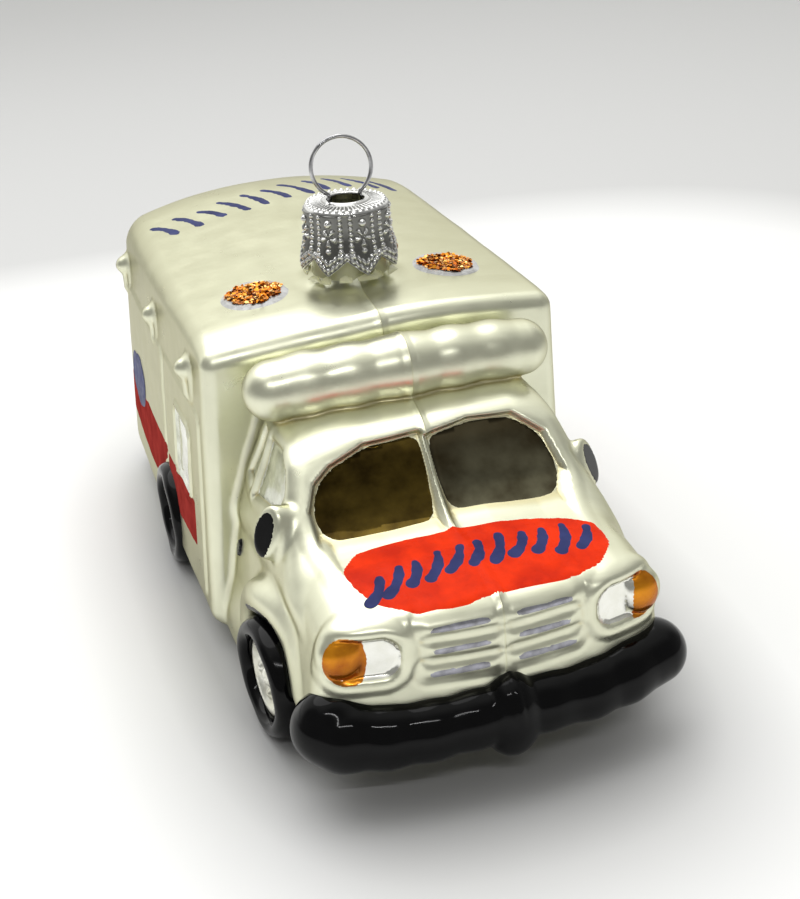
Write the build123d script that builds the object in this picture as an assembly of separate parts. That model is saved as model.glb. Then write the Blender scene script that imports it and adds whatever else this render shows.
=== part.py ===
"""Blown-glass hanging ornament in the shape of a box ambulance, with its crown cap and wire ring.

Millimetres.  +Z up, the tyres stand on Z 0, the windscreen and bumper face -Y and the vehicle's
left side is +X.  The origin is under the middle of the whole ornament.
The glass is one blown skin; each lacquered relief on it is cut as a piece of its own.
"""
import os
from math import asin, atan2, cos, degrees, radians, sqrt, tan

from build123d import *

os.makedirs("parts", exist_ok=True)

# ---- driving dimensions ---------------------------------------------------------------------
WALL = 1.1                # glass skin
SILL = 2.9                # underside of the bodywork above the ground
PANE_DROP = 0.3           # painted panes sit this far below the glass around them
PANE_THICK = 0.35
RUN_FIT = 0.08            # radial clearance of the sliding and turning fits
REACH = 6.0               # cutting prisms run this far to each side of the skin they cut

# box body
BOX_HALF, BOX_FLARE = 23.0, 1.5        # half width at the sill, and how much less at the roof
BOX_FRONT_Y, BOX_LENGTH = -11.0, 58.0  # flat front face, corners of the rear face behind it
REAR_BULGE = 3.2                       # the rear face bows out this much at the middle
ROOF_EDGE_Z, ROOF_CROWN = 38.9, 1.4
BOX_ROUND = 2.6

# cab: side view from the sill round the nose to the roof, front view and plan from the middle out
CAB_HALF = 20.9
CAB_LAP = 3.0                          # the cab runs this far into the box
GRILLE_Y = -47.3
COWL_Y, COWL_Z = -32.8, 23.85
BROW_Y, BROW_Z = -24.6, 31.85
CAB_ROOF_Z = 34.4
CAB_ROUND = 1.2

# panes, as seen square on
WINDSCREEN = ((0.9, -7.0), (0.7, -1.2), (12.6, -2.3), (14.0, -3.6), (14.2, -7.2))   # x, z from brow
DOOR_PANES = (((-5.6, -7.3), (-0.9, -1.9), (5.3, -1.5), (6.9, -7.9)),              # y, z from brow
              ((8.3, -7.2), (7.3, -1.7), (8.9, -1.5), (10.6, -6.4)))
PANE_ROUND = 1.2
DOOR_PANE_ROUND = 0.5
BOX_PANE = (13.8, 21.4, 7.2, 9.4)      # y behind the box front, z, length, height
REAR_PANE = (8.0, 27.6, 9.0, 8.4)      # x, z, width, height

# nose
LAMP = (14.3, 17.6, 7.4, 4.8)          # x, z, width, height of each lens
LAMP_ROUND = 1.4
AMBER_R, AMBER_OUT, AMBER_BACK = 2.4, 1.6, 3.2   # bulb, off the lens middle, behind the grille
GRILLE_BARS = ((20.1, 8.0), (17.7, 8.4), (15.3, 8.8))    # height, outer end of each bar
BAR_GAP, BAR_H, BAR_ROUND = 0.55, 1.3, 0.5

# bumpers: bar radius, height, and x with the distance in from the face, middle to end
FRONT_BAR_R, FRONT_BAR_Z, FRONT_BAR = 3.6, 8.8, ((0, 0.5), (9.5, 1.3), (18.5, 3.7))
REAR_BAR_R, REAR_BAR_Z, REAR_BAR = 2.2, 4.9, ((0, 1.1), (11.0, 1.9), (20.8, 4.1))
BOSS_R, BOSS_RISE = 4.5, 0.5           # round lump at the middle of the front bar

# wheels
WHEEL_R, HUB_R = 7.0, 4.05
TYRE_DEPTH, TYRE_ROUND = 4.6, 1.2
FRONT_AXLE_Y, FRONT_TYRE_PROUD = -29.5, 1.2
REAR_AXLE_Y, REAR_TYRE_PROUD = 13.5, 2.1
HUB_DROP, DISH_R, NUB_R, NUB_SINK = 0.3, 14.0, 1.0, 0.3

# small reliefs
LIGHT_BAR_R = 3.6
LIGHT_BAR = ((0, -6.2, 1.3), (7.5, -6.0, 1.2), (14.6, -5.3, 0.6))   # from box front, cab roof
MIRROR_R, MIRROR_IN, MIRROR_H, MIRROR_Y, MIRROR_Z = 1.9, 2.2, 2.0, -28.0, 24.0
MIRROR_FACE_PROUD, MIRROR_FACE_RIM = 0.5, 0.2
HANDLE_R, HANDLE_H, HANDLE_Y, HANDLE_Z = 0.8, 0.8, -13.6, 15.6
SIDE_LAMP_Z, SIDE_LAMP_YS = 31.4, (7.8, 31.4, 54.4)                 # y behind the box front
SIDE_LAMP_L, SIDE_LAMP_H, SIDE_LAMP_PROUD, SIDE_LAMP_ROUND = 3.8, 4.8, 0.9, 1.1
LENS_R, LENS_PROUD, LENS_RISE, LENS_ROUND, LENS_DEPTH = 1.6, 0.7, 0.5, 0.5, 3.0
BEACON_X, BEACON_Y, BEACON_R, GLITTER_R = 12.2, 1.2, 4.15, 3.35
BEACON_PROUD, GLITTER_PROUD, GLITTER_ROUND = 0.35, 0.8, 0.5

# neck, cap and ring
NECK_Y, NECK_R, NECK_BORE, NECK_FLARE = 1.4, 4.62, 3.6, 1.0
CAP_METAL = 0.4
CAP_RISE = 9.35                        # top of the cap above the crown of the roof
CAP_H, CAP_STRAIGHT = 7.1, 2.4         # whole skirt, and its straight part that fits the neck
CAP_SKIRT_R = 5.9
CAP_LEAVES, LEAF_POINT = 8, 2.3
COLLAR_H = 0.7
WIRE_R, RING_R = 0.25, 3.55            # wire, centreline of the loop
RING_GAP = 1.2                         # from the cap's top to where the legs start to bend
FOOT_X, BEND_R, LEG_DEPTH = 1.93, 0.8, 6.4

# ---- sizes that follow -----------------------------------------------------------------------
box_top = BOX_HALF - BOX_FLARE
rear_corner_y = BOX_FRONT_Y + BOX_LENGTH
rear_y = rear_corner_y + REAR_BULGE
crown_z = ROOF_EDGE_Z + ROOF_CROWN
cab_back_y = BOX_FRONT_Y + CAB_LAP
cab_side = ((cab_back_y, SILL), (GRILLE_Y + 1.2, SILL + 1.5), (GRILLE_Y, COWL_Z * 0.5),
            (GRILLE_Y, COWL_Z - 1.9), (COWL_Y, COWL_Z), (BROW_Y, BROW_Z),
            (BROW_Y + 6.0, CAB_ROOF_Z - 0.8), (cab_back_y, CAB_ROOF_Z))
cab_front = ((0, SILL), (CAB_HALF - 0.4, SILL), (CAB_HALF, 12.0), (CAB_HALF - 0.7, 16.2),
             (CAB_HALF - 2.1, 19.4), (CAB_HALF - 3.6, COWL_Z - 1.2), (CAB_HALF - 6.2, BROW_Z - 0.4),
             (CAB_HALF - 8.9, CAB_ROOF_Z - 1.1), (0, CAB_ROOF_Z + 0.2))
cab_plan = ((0, cab_back_y), (CAB_HALF - 0.3, cab_back_y), (CAB_HALF, FRONT_AXLE_Y),
            (CAB_HALF - 0.4, GRILLE_Y + 6.3), (CAB_HALF - 2.7, GRILLE_Y + 2.4),
            (CAB_HALF * 0.43, GRILLE_Y + 0.5), (0, GRILLE_Y))
cap_top_z = crown_z + CAP_RISE
cap_tip_z = cap_top_z - CAP_H
neck_top = cap_top_z - CAP_METAL


# ---- helpers --------------------------------------------------------------------------------
def corners(x, y, length, height):
    """Corners of a rectangle round its middle."""
    a, b = length / 2, height / 2
    return (x - a, y - b), (x + a, y - b), (x + a, y + b), (x - a, y + b)


def rounded(points, radius):
    """Closed outline through the points with every corner rounded."""
    outline = make_face(Polyline(*points, close=True))
    return fillet(outline.vertices(), radius)


def mirrored(points):
    """Right half of an outline and its mirror image about the local Y axis."""
    return list(points) + [(-x, y) for x, y in reversed(points) if x]


def both_ways(points):
    """Centreline given from the middle outwards, continued to the other side."""
    return [(-x, *rest) for x, *rest in reversed(points[1:])] + list(points)


def slab(plane, outline, inset):
    """Long prism of a flat outline shrunk by the inset."""
    face = offset(outline, amount=-inset) if inset else outline
    return extrude(plane * face, amount=2 * BOX_LENGTH, both=True)


def box_form(inset=0.0):
    """Box body: crowned roof, bowed rear face, sides flaring a little to the sill."""
    front = make_face(
        Polyline((-box_top, ROOF_EDGE_Z), (-BOX_HALF, SILL), (BOX_HALF, SILL), (box_top, ROOF_EDGE_Z))
        + ThreePointArc((box_top, ROOF_EDGE_Z), (0, crown_z), (-box_top, ROOF_EDGE_Z)))
    plan = make_face(
        Polyline((BOX_HALF, rear_corner_y), (BOX_HALF, BOX_FRONT_Y), (-BOX_HALF, BOX_FRONT_Y),
                 (-BOX_HALF, rear_corner_y))
        + ThreePointArc((-BOX_HALF, rear_corner_y), (0, rear_y), (BOX_HALF, rear_corner_y)))
    side = ((BOX_FRONT_Y, SILL), (rear_y, SILL), (rear_y, crown_z), (BOX_FRONT_Y, crown_z))
    return (slab(Plane.XZ, fillet(front.vertices(), BOX_ROUND), inset)
            & slab(Plane.XY, fillet(plan.vertices(), BOX_ROUND), inset)
            & slab(Plane.YZ, rounded(side, BOX_ROUND), inset))


def cab_form(inset=0.0):
    """Cab: sloping hood, raked windscreen, brow and short roof running into the box."""
    return (slab(Plane.YZ, rounded(cab_side, CAB_ROUND), inset)
            & slab(Plane.XZ, rounded(mirrored(cab_front), CAB_ROUND), inset)
            & slab(Plane.XY, rounded(mirrored(cab_plan), CAB_ROUND), inset))


def form(inset=0.0):
    """The whole vehicle inside its skin by the inset."""
    return box_form(inset) + cab_form(inset)


skin = form()
pane_face = form(PANE_DROP)
pane_back = form(PANE_DROP + PANE_THICK)
cavity = form(WALL)
parts = {}
pockets = []


def inlay(name, *prisms):
    """Painted pane filling the bottom of a pocket in the skin."""
    parts[name] = [(prism & pane_face) - pane_back for prism in prisms]
    pockets.extend(prism - pane_back for prism in prisms)


def relief(name, *shapes):
    """Piece standing proud of the skin and seated on it face to face."""
    parts[name] = [shape - skin for shape in shapes]


def capsule(points, radius):
    """Round bar with ball ends through a row of points."""
    bar = Pos(*points[0]) * Sphere(radius)
    for start, end in zip(points, points[1:]):
        span = Vector(*end) - Vector(*start)
        bar += Solid.make_cylinder(radius, span.length, Plane(origin=start, z_dir=span))
        bar += Pos(*end) * Sphere(radius)
    return bar


def side_prism(points, radius, x, reach):
    """Prism of an outline in side view, running outwards from x."""
    return extrude(Plane.YZ.offset(x) * rounded(points, radius), amount=reach)


def front_prism(points, radius, y, reach):
    """Prism of an outline in front view, running forwards from y."""
    return extrude(Plane.XZ.offset(-y) * rounded(points, radius), amount=reach)


def box_side_x(z):
    """Half width of the box body at a height."""
    return BOX_HALF - BOX_FLARE * (z - SILL) / (ROOF_EDGE_Z - SILL)


# ---- panes, lamps and grille bars let into the skin: left side, then the middle ---------------
inlay("windshield_left", front_prism([(x, BROW_Z + z) for x, z in WINDSCREEN], PANE_ROUND,
                                     BROW_Y + REACH, BROW_Y - COWL_Y + 2 * REACH))
inlay("door_window_left", *(
    side_prism([(BROW_Y + y, BROW_Z + z) for y, z in pane], DOOR_PANE_ROUND,
               CAB_HALF - 2 * REACH, 3 * REACH) for pane in DOOR_PANES))
y, *rest = BOX_PANE
inlay("box_window_left", side_prism(corners(BOX_FRONT_Y + y, *rest), PANE_ROUND,
                                    BOX_HALF - REACH, 2 * REACH))

amber = Pos(LAMP[0] + AMBER_OUT, GRILLE_Y + AMBER_BACK, LAMP[1]) * Sphere(AMBER_R)
nose_y = GRILLE_Y + REACH + AMBER_R
inlay("headlamp_left", front_prism(corners(*LAMP), LAMP_ROUND, nose_y, 2 * REACH) - amber)
parts["indicator_left"] = [amber - pane_back]
pockets.append(amber - pane_back)
pockets.extend(mirror(pocket, about=Plane.YZ) for pocket in list(pockets))

x, *rest = REAR_PANE
inlay("rear_windows", *(front_prism(corners(sx * x, *rest), PANE_ROUND, rear_y + REACH, 2 * REACH)
                        for sx in (1, -1)))
inlay("grille_bars", *(
    front_prism(corners(sx * (BAR_GAP + end) / 2, height, end - BAR_GAP, BAR_H), BAR_ROUND,
                nose_y, 2 * REACH)
    for height, end in GRILLE_BARS for sx in (1, -1)))

# ---- reliefs standing on the skin ------------------------------------------------------------
relief("light_bar", capsule([(x, BOX_FRONT_Y + y, CAB_ROOF_Z + z)
                             for x, y, z in both_ways(LIGHT_BAR)], LIGHT_BAR_R))
front_bar = [(x, GRILLE_Y + y, FRONT_BAR_Z) for x, y in both_ways(FRONT_BAR)]
boss = Pos(0, GRILLE_Y + FRONT_BAR[0][1], FRONT_BAR_Z + BOSS_RISE) * Sphere(BOSS_R)
relief("front_bumper", capsule(front_bar, FRONT_BAR_R) + boss)
rear_bar = [(x, rear_y - y, REAR_BAR_Z) for x, y in both_ways(REAR_BAR)]
relief("rear_bumper", capsule(rear_bar, REAR_BAR_R))

rim_z = TYRE_DEPTH / 2 - HUB_DROP
dish_z = rim_z + sqrt(DISH_R ** 2 - HUB_R ** 2)
tyre = Cylinder(WHEEL_R, TYRE_DEPTH)
tyre = fillet(tyre.edges().filter_by(GeomType.CIRCLE), TYRE_ROUND) - Cylinder(HUB_R, TYRE_DEPTH)
hub = Pos(0, 0, rim_z) * Cylinder(HUB_R, TYRE_DEPTH, align=(Align.CENTER, Align.CENTER, Align.MAX))
hub -= Pos(0, 0, dish_z) * Sphere(DISH_R)
hub += Pos(0, 0, dish_z - DISH_R - NUB_SINK) * Sphere(NUB_R)
for end, y, face_x in (("front", FRONT_AXLE_Y, CAB_HALF + FRONT_TYRE_PROUD),
                       ("rear", REAR_AXLE_Y, BOX_HALF + REAR_TYRE_PROUD)):
    wheel = Pos(face_x - TYRE_DEPTH / 2, y, WHEEL_R) * Rot(0, 90, 0)
    relief("tyre_" + end + "_left", wheel * tyre)
    relief("hub_" + end + "_left", wheel * hub)

stalk = [(CAB_HALF - MIRROR_IN, MIRROR_Y, MIRROR_Z + dz) for dz in (-MIRROR_H / 2, MIRROR_H / 2)]
housing = capsule(stalk, MIRROR_R)
mirror_face = Pos(MIRROR_FACE_PROUD, 0, 0) * capsule(stalk, MIRROR_R - MIRROR_FACE_RIM)
relief("mirror_housing_left", housing)
relief("mirror_face_left", mirror_face - housing)
relief("door_handle_left", capsule(
    [(CAB_HALF - HANDLE_R, HANDLE_Y, HANDLE_Z + dz) for dz in (-HANDLE_H / 2, HANDLE_H / 2)],
    HANDLE_R))

lamps = []
lamp_face_x = box_side_x(SIDE_LAMP_Z) + SIDE_LAMP_PROUD
lens = Cylinder(LENS_R, LENS_DEPTH, align=(Align.CENTER, Align.CENTER, Align.MAX))
lens = fillet(lens.edges().filter_by(GeomType.CIRCLE).sort_by(Axis.Z)[-1], LENS_ROUND)
for y in SIDE_LAMP_YS:
    outline = corners(BOX_FRONT_Y + y, SIDE_LAMP_Z, SIDE_LAMP_L, SIDE_LAMP_H)
    base = side_prism(outline, SIDE_LAMP_ROUND, lamp_face_x - LENS_DEPTH, LENS_DEPTH)
    place = Pos(lamp_face_x + LENS_PROUD, BOX_FRONT_Y + y, SIDE_LAMP_Z + LENS_RISE)
    lamps.append(base + place * Rot(0, 90, 0) * lens)
relief("side_lamps_left", *lamps)

crown_r = (box_top ** 2 + ROOF_CROWN ** 2) / (2 * ROOF_CROWN)
lean = asin(BEACON_X / crown_r)
seat = (Pos(BEACON_X, BEACON_Y, crown_z - crown_r * (1 - cos(lean))) * Rot(0, degrees(lean), 0))
glitter = Cylinder(GLITTER_R, 2 * GLITTER_PROUD)
glitter = fillet(glitter.edges().filter_by(GeomType.CIRCLE).sort_by(Axis.Z)[-1], GLITTER_ROUND)
ring = Cylinder(BEACON_R, 2 * BEACON_PROUD) - Cylinder(GLITTER_R, 2 * BEACON_PROUD)
relief("beacon_ring_left", seat * ring)
relief("beacon_glitter_left", seat * glitter)

for name in [name for name in parts if name.endswith("_left")]:
    parts[name.replace("_left", "_right")] = [
        mirror(solid, about=Plane.YZ) for solid in parts[name]]

# ---- neck, cap and ring ----------------------------------------------------------------------
foot_r = NECK_R + NECK_FLARE
foot_z = crown_z - (crown_r - sqrt(crown_r ** 2 - foot_r ** 2))
neck_line = make_face(Polyline(
    (NECK_BORE, foot_z - NECK_FLARE), (foot_r, foot_z - NECK_FLARE), (foot_r, foot_z),
    (NECK_R, foot_z + NECK_FLARE), (NECK_R, neck_top), (NECK_BORE, neck_top), close=True))
relief("neck", Pos(0, NECK_Y, 0) * revolve(Plane.XZ * neck_line, Axis.Z))
pockets.append(Pos(0, NECK_Y, crown_z) * Cylinder(NECK_BORE, 2 * REACH))

hole_r = FOOT_X + WIRE_R + RUN_FIT
seat_r = NECK_R + RUN_FIT
cap_line = make_face(Polyline(
    (hole_r, neck_top), (hole_r, cap_top_z + COLLAR_H), (hole_r + CAP_METAL, cap_top_z + COLLAR_H),
    (hole_r + CAP_METAL, cap_top_z), (seat_r, cap_top_z), (seat_r + CAP_METAL, neck_top),
    (seat_r + CAP_METAL, neck_top - CAP_STRAIGHT), (CAP_SKIRT_R, cap_tip_z),
    (CAP_SKIRT_R - CAP_METAL, cap_tip_z), (seat_r, neck_top - CAP_STRAIGHT), (seat_r, neck_top),
    close=True))
cap = revolve(Plane.XZ * cap_line, Axis.Z)
pitch = 360.0 / CAP_LEAVES
half_leaf = CAP_SKIRT_R * tan(radians(pitch / 2))
notch = make_face(Polyline((-half_leaf, cap_tip_z - WALL), (-half_leaf, cap_tip_z),
                           (0, cap_tip_z + LEAF_POINT), (half_leaf, cap_tip_z),
                           (half_leaf, cap_tip_z - WALL), close=True))
for leaf in range(CAP_LEAVES):
    cap -= Rot(0, 0, (leaf + 0.5) * pitch) * extrude(Plane.XZ * notch, amount=2 * CAP_SKIRT_R)
parts["cap"] = [Pos(0, NECK_Y, 0) * cap]

bend_z = cap_top_z + RING_GAP
leg_z = cap_top_z - LEG_DEPTH
reach = FOOT_X + BEND_R
drop = sqrt((RING_R + BEND_R) ** 2 - reach ** 2)
loop_z = bend_z + drop
bend = degrees(atan2(drop, reach))
ring_line = (
    Line((-FOOT_X, leg_z), (-FOOT_X, bend_z))
    + CenterArc((-reach, bend_z), BEND_R, 0, bend)
    + CenterArc((0, loop_z), RING_R, 180 + bend, -(180 + 2 * bend))
    + CenterArc((reach, bend_z), BEND_R, 180, -bend)
    + Line((FOOT_X, bend_z), (FOOT_X, leg_z)))
wire = Plane(origin=(-FOOT_X, 0, leg_z), z_dir=(0, 0, 1)) * Circle(WIRE_R)
parts["hanger_ring"] = [Pos(0, NECK_Y, 0) * sweep(wire, path=Plane.XZ * ring_line)]

# ---- the glass skin with its pockets ---------------------------------------------------------
shell = skin - cavity
for pocket in pockets:
    shell -= pocket
parts["glass_body"] = [shell]

front_end = GRILLE_Y + FRONT_BAR[0][1] - BOSS_R
rear_end = rear_y - REAR_BAR[0][1] + REAR_BAR_R
middle = Location((0, -(front_end + rear_end) / 2, 0))
for name, solids in parts.items():
    pieces = [piece for solid in solids for piece in solid.solids()]
    node = pieces[0] if len(pieces) == 1 else Compound(children=pieces)
    export_step(node.moved(middle), "parts/" + name + ".step")
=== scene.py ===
"""Blown-glass ambulance ornament: its moulded skin, paint, crown cap and wire ring.

The forms are worked out in millimetres, in the frame's axes, and written to Blender in metres.
The skin and the bumpers are signed distance fields turned into meshes. Paint and panes are thin films
laid on the skin. The neck, wheels, cap and ring are turned or swept, and the glitter is loose flakes.
"""
import math

import bmesh
import bpy
import numpy as np
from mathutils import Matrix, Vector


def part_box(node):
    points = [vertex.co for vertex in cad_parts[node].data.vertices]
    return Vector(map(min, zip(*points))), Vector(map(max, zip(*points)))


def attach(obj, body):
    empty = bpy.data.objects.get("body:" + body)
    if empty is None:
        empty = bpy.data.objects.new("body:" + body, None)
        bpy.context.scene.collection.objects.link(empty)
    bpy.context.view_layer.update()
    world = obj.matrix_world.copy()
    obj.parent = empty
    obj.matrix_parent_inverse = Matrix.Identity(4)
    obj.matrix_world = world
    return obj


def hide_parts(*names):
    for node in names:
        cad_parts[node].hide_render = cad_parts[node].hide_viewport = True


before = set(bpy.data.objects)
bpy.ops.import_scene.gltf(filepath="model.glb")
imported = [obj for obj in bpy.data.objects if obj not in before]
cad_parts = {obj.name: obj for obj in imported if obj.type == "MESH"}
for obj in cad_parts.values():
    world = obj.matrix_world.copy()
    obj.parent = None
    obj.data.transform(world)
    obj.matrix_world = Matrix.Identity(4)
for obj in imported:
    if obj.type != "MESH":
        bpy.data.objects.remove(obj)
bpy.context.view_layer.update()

import openvdb
from mathutils import Matrix, Vector
from mathutils.geometry import delaunay_2d_cdt

MM = 0.001
SIGNS = {"left": 1.0, "right": -1.0}    # the vehicle's left side is on +X
RANDOM = np.random.default_rng(12)


# ---- sizes read from the frame ---------------------------------------------------------------
def node_box(node):
    """Lowest and highest corner of a CAD node, in millimetres."""
    return [np.array(corner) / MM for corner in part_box(node)]


GLASS_LOW, GLASS_HIGH = node_box("glass_body")
SILL = GLASS_LOW[2]
NOSE_Y = GLASS_LOW[1]
REAR_Y = GLASS_HIGH[1]
BOX_HALF = GLASS_HIGH[0]
CROWN_Z = GLASS_HIGH[2]
NECK_LOW, NECK_HIGH = node_box("neck")
NECK_Y = (NECK_LOW[1] + NECK_HIGH[1]) / 2
CAP_LOW, CAP_HIGH = node_box("cap")
RING_LOW, RING_HIGH = node_box("hanger_ring")
TYRES = {end: node_box("tyre_%s_left" % end) for end in ("front", "rear")}
AXLE_Y = {end: (low[1] + high[1]) / 2 for end, (low, high) in TYRES.items()}
WHEEL_R = (TYRES["front"][1][2] - TYRES["front"][0][2]) / 2

# box body
BOX_FRONT_Y, BOX_REAR_CORNER = -11.0, REAR_Y - 3.2
BOX_TOP_HALF, BOX_FLARE, RIGHT_FLARE = BOX_HALF - 1.5, 1.5, 2.3
ROOF_EDGE_Z, ROOF_CROWN, REAR_RISE = CROWN_Z - 1.4, 1.4, 1.8
# cab, in side view
HOOD_FRONT_Z = 21.5
COWL_Y, COWL_Z = -32.8, 23.85
BROW_Y, BROW_Z = -24.6, 31.85
VISOR_Y, VISOR_Z = -18.6, 33.65
CAB_ROOF_Z, CAB_ROOF_Y = 34.4, -8.0
CAB_HALF = 20.9
BELT_Z, WAIST_Z = 12.4, 22.65           # where the cab's side starts to lean in, and where the windows start
HOUSE_HALF, EAVE_HALF, EAVE_Z = 17.9, 15.2, BROW_Z - 0.4        # the cabin's section above the waist
ARCH_R, ARCH_ROLL = 9.0, 2.05           # the rolled arch over a front wheel
CAB_SPLIT_Y = -12.6                     # the skin is meshed in two pieces that meet here
SEAM_X = -0.1


# ---- distance fields --------------------------------------------------------------------------
def smooth_max(a, b, k):
    """Intersection of two forms with a rounded edge of size k."""
    h = np.clip(0.5 + 0.5 * (a - b) / k, 0.0, 1.0)
    return b + (a - b) * h + k * h * (1.0 - h)


def smooth_min(a, b, k):
    """Union of two forms with a fillet of size k."""
    return -smooth_max(-a, -b, k)


def step(value):
    """Smooth ramp from 0 to 1 as the value goes from 0 to 1."""
    t = np.clip(value, 0.0, 1.0)
    return t * t * (3.0 - 2.0 * t)


def bump(value):
    """Smooth hill: 1 at 0, falling to 0 at 1 on either side."""
    return step(1.0 - np.abs(value))


def line_field(u, v, start, end):
    """Signed distance to the line through two points, positive on its left looking along it."""
    (u0, v0), (u1, v1) = start, end
    length = math.hypot(u1 - u0, v1 - v0)
    return ((v - v0) * (u1 - u0) - (u - u0) * (v1 - v0)) / length


def rounded_box(u, v, half_u, half_v, radius):
    """Flat signed distance to a rectangle with round corners about 0, 0."""
    a, b = np.abs(u) - half_u + radius, np.abs(v) - half_v + radius
    return (np.hypot(np.maximum(a, 0), np.maximum(b, 0))
            + np.minimum(np.maximum(a, b), 0) - radius)


def polygon(u, v, points, rounding=0.0):
    """Flat signed distance to a polygon, negative inside."""
    points = np.asarray(points, float)
    best = np.full(np.shape(u), 1e9)
    inside = np.zeros(np.shape(u), bool)
    for (u0, v0), (u1, v1) in zip(points, np.roll(points, -1, 0)):
        du, dv = u1 - u0, v1 - v0
        t = np.clip(((u - u0) * du + (v - v0) * dv) / (du * du + dv * dv), 0, 1)
        best = np.minimum(best, (u - u0 - t * du) ** 2 + (v - v0 - t * dv) ** 2)
        crosses = ((v0 <= v) != (v1 <= v)) & (u < u0 + (v - v0) * du / (dv if dv else 1e-9))
        inside ^= crosses
    return np.where(inside, -1.0, 1.0) * np.sqrt(best) - rounding


def rod(x, y, z, points, radii):
    """Distance to a chain of round-ended rods whose radius changes along it."""
    best = None
    for a, b, ra, rb in zip(points, points[1:], radii, radii[1:]):
        a, b = np.asarray(a, float), np.asarray(b, float)
        ab = b - a
        t = np.clip(((x - a[0]) * ab[0] + (y - a[1]) * ab[1] + (z - a[2]) * ab[2])
                    / ab.dot(ab), 0, 1)
        d = np.sqrt((x - a[0] - t * ab[0]) ** 2 + (y - a[1] - t * ab[1]) ** 2
                    + (z - a[2] - t * ab[2]) ** 2) - (ra + (rb - ra) * t)
        best = d if best is None else smooth_min(best, d, 0.8)
    return best


def blob(x, y, z, centre, radii):
    """Rough distance to an ellipsoid."""
    q = [(p - c) / r for p, c, r in zip((x, y, z), centre, radii)]
    length = np.sqrt(q[0] ** 2 + q[1] ** 2 + q[2] ** 2)
    steep = np.sqrt(sum((p / r) ** 2 for p, r in zip(q, radii)))
    return length * (length - 1.0) / np.maximum(steep, 1e-6)


def ripple(x, y, z, size, seed=0.0):
    """Gentle hand-blown unevenness between about -1 and 1."""
    u, v, w = x / size + seed, y / size - 1.7 * seed, z / size + 0.6 * seed
    return (np.sin(1.1 * u + 1.9 * np.sin(0.7 * v + 0.5)) * np.cos(0.9 * w + 0.8 * np.sin(0.6 * u))
            + 0.5 * np.sin(2.3 * v + 1.3 * np.cos(1.7 * w) + 0.4 * u)) / 1.5


# ---- the moulded skin -------------------------------------------------------------------------
def from_brow(points, y=0.0):
    """Outline points measured from the windscreen's upper edge."""
    return tuple((u + y, BROW_Z + v) for u, v in points)


WINDSCREENS = {                         # distance out from the middle, and height
    "left": from_brow(((0.2, -7.5), (-0.2, -4.4), (-0.1, -1.5), (5.0, -1.0), (10.2, -1.3), (13.0, -3.2),
                       (14.0, -6.3), (12.9, -8.0), (10.0, -8.0), (4.2, -7.6))),
    "right": from_brow(((1.6, -7.9), (1.0, -4.4), (0.9, -1.2), (7.1, -1.5), (11.3, -2.8), (13.2, -4.0),
                        (14.3, -6.0), (14.2, -7.8), (13.3, -8.3), (7.8, -8.1))),
}
DOOR_PANE = from_brow(((-0.9, -4.9), (0.4, -3.2), (3.1, -1.9), (7.0, -2.1), (7.8, -8.8), (0.2, -7.4),
                       (-0.8, -5.8)), BROW_Y)
VENT_PANE = from_brow(((9.6, -8.4), (8.6, -2.2), (9.9, -2.0), (11.4, -7.6)), BROW_Y)
LAMP_X, LAMP_Z, LAMP_HALF, LAMP_ROUND = 14.3, 17.6, (3.7, 2.4), 2.1
AMBER_X, AMBER_Y = 15.9, -44.1
GRILLE = ((20.0, 8.3), (17.5, 7.9), (14.9, 8.6))        # height and outer end of each bar
BAR_HALF_H = 0.62
BOX_PANE_Y, BOX_PANE_Z, BOX_PANE_HALF, BOX_PANE_ROUND = 2.2, 21.1, (4.2, 4.6), 1.4
REAR_PANE_X, REAR_PANE_Z, REAR_PANE_HALF, REAR_PANE_ROUND = 8.0, 27.6, (4.4, 4.1), 1.3
REAR_DOOR_X, REAR_DOOR_Z, REAR_DOOR_HALF = 9.2, 19.4, (8.4, 15.2)
SIDE_LAMPS = ((BOX_FRONT_Y + 8.2, 32.8), (BOX_FRONT_Y + 31.6, 31.5), (BOX_FRONT_Y + 54.6, 31.3))
LAMP_PAD_HALF = (2.1, 2.9)
DOOR_SPLIT_Y = 14.6                                     # groove between the box's side panels
PANEL_Z, PANEL_HALF_H = 17.4, 12.4
PANELS = (((DOOR_SPLIT_Y - 8.2) / 2 - 0.2, (DOOR_SPLIT_Y + 7.2) / 2),     # middle and half length
          ((DOOR_SPLIT_Y + 45.6) / 2, (44.0 - DOOR_SPLIT_Y) / 2))


def nose_bow(x):
    """How far the nose falls back from its middle."""
    return np.where(x > 0, 0.0078, 0.006) * x ** 2 + 4e-6 * x ** 4


def box_half(x, z):
    """Half width of the box body at a height; its right side leans out a little more."""
    up = (z - SILL) / (ROOF_EDGE_Z - SILL)
    flare = np.where(x < 0, RIGHT_FLARE, BOX_FLARE)
    return BOX_TOP_HALF + flare * (1.0 - up)


def wheel_room(ax, ring, radius, inner):
    """A hollow in the skin for a wheel, further out than inner; ring is the distance from the axle."""
    return radius - ring - 8.0 * step(inner - ax)


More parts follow.
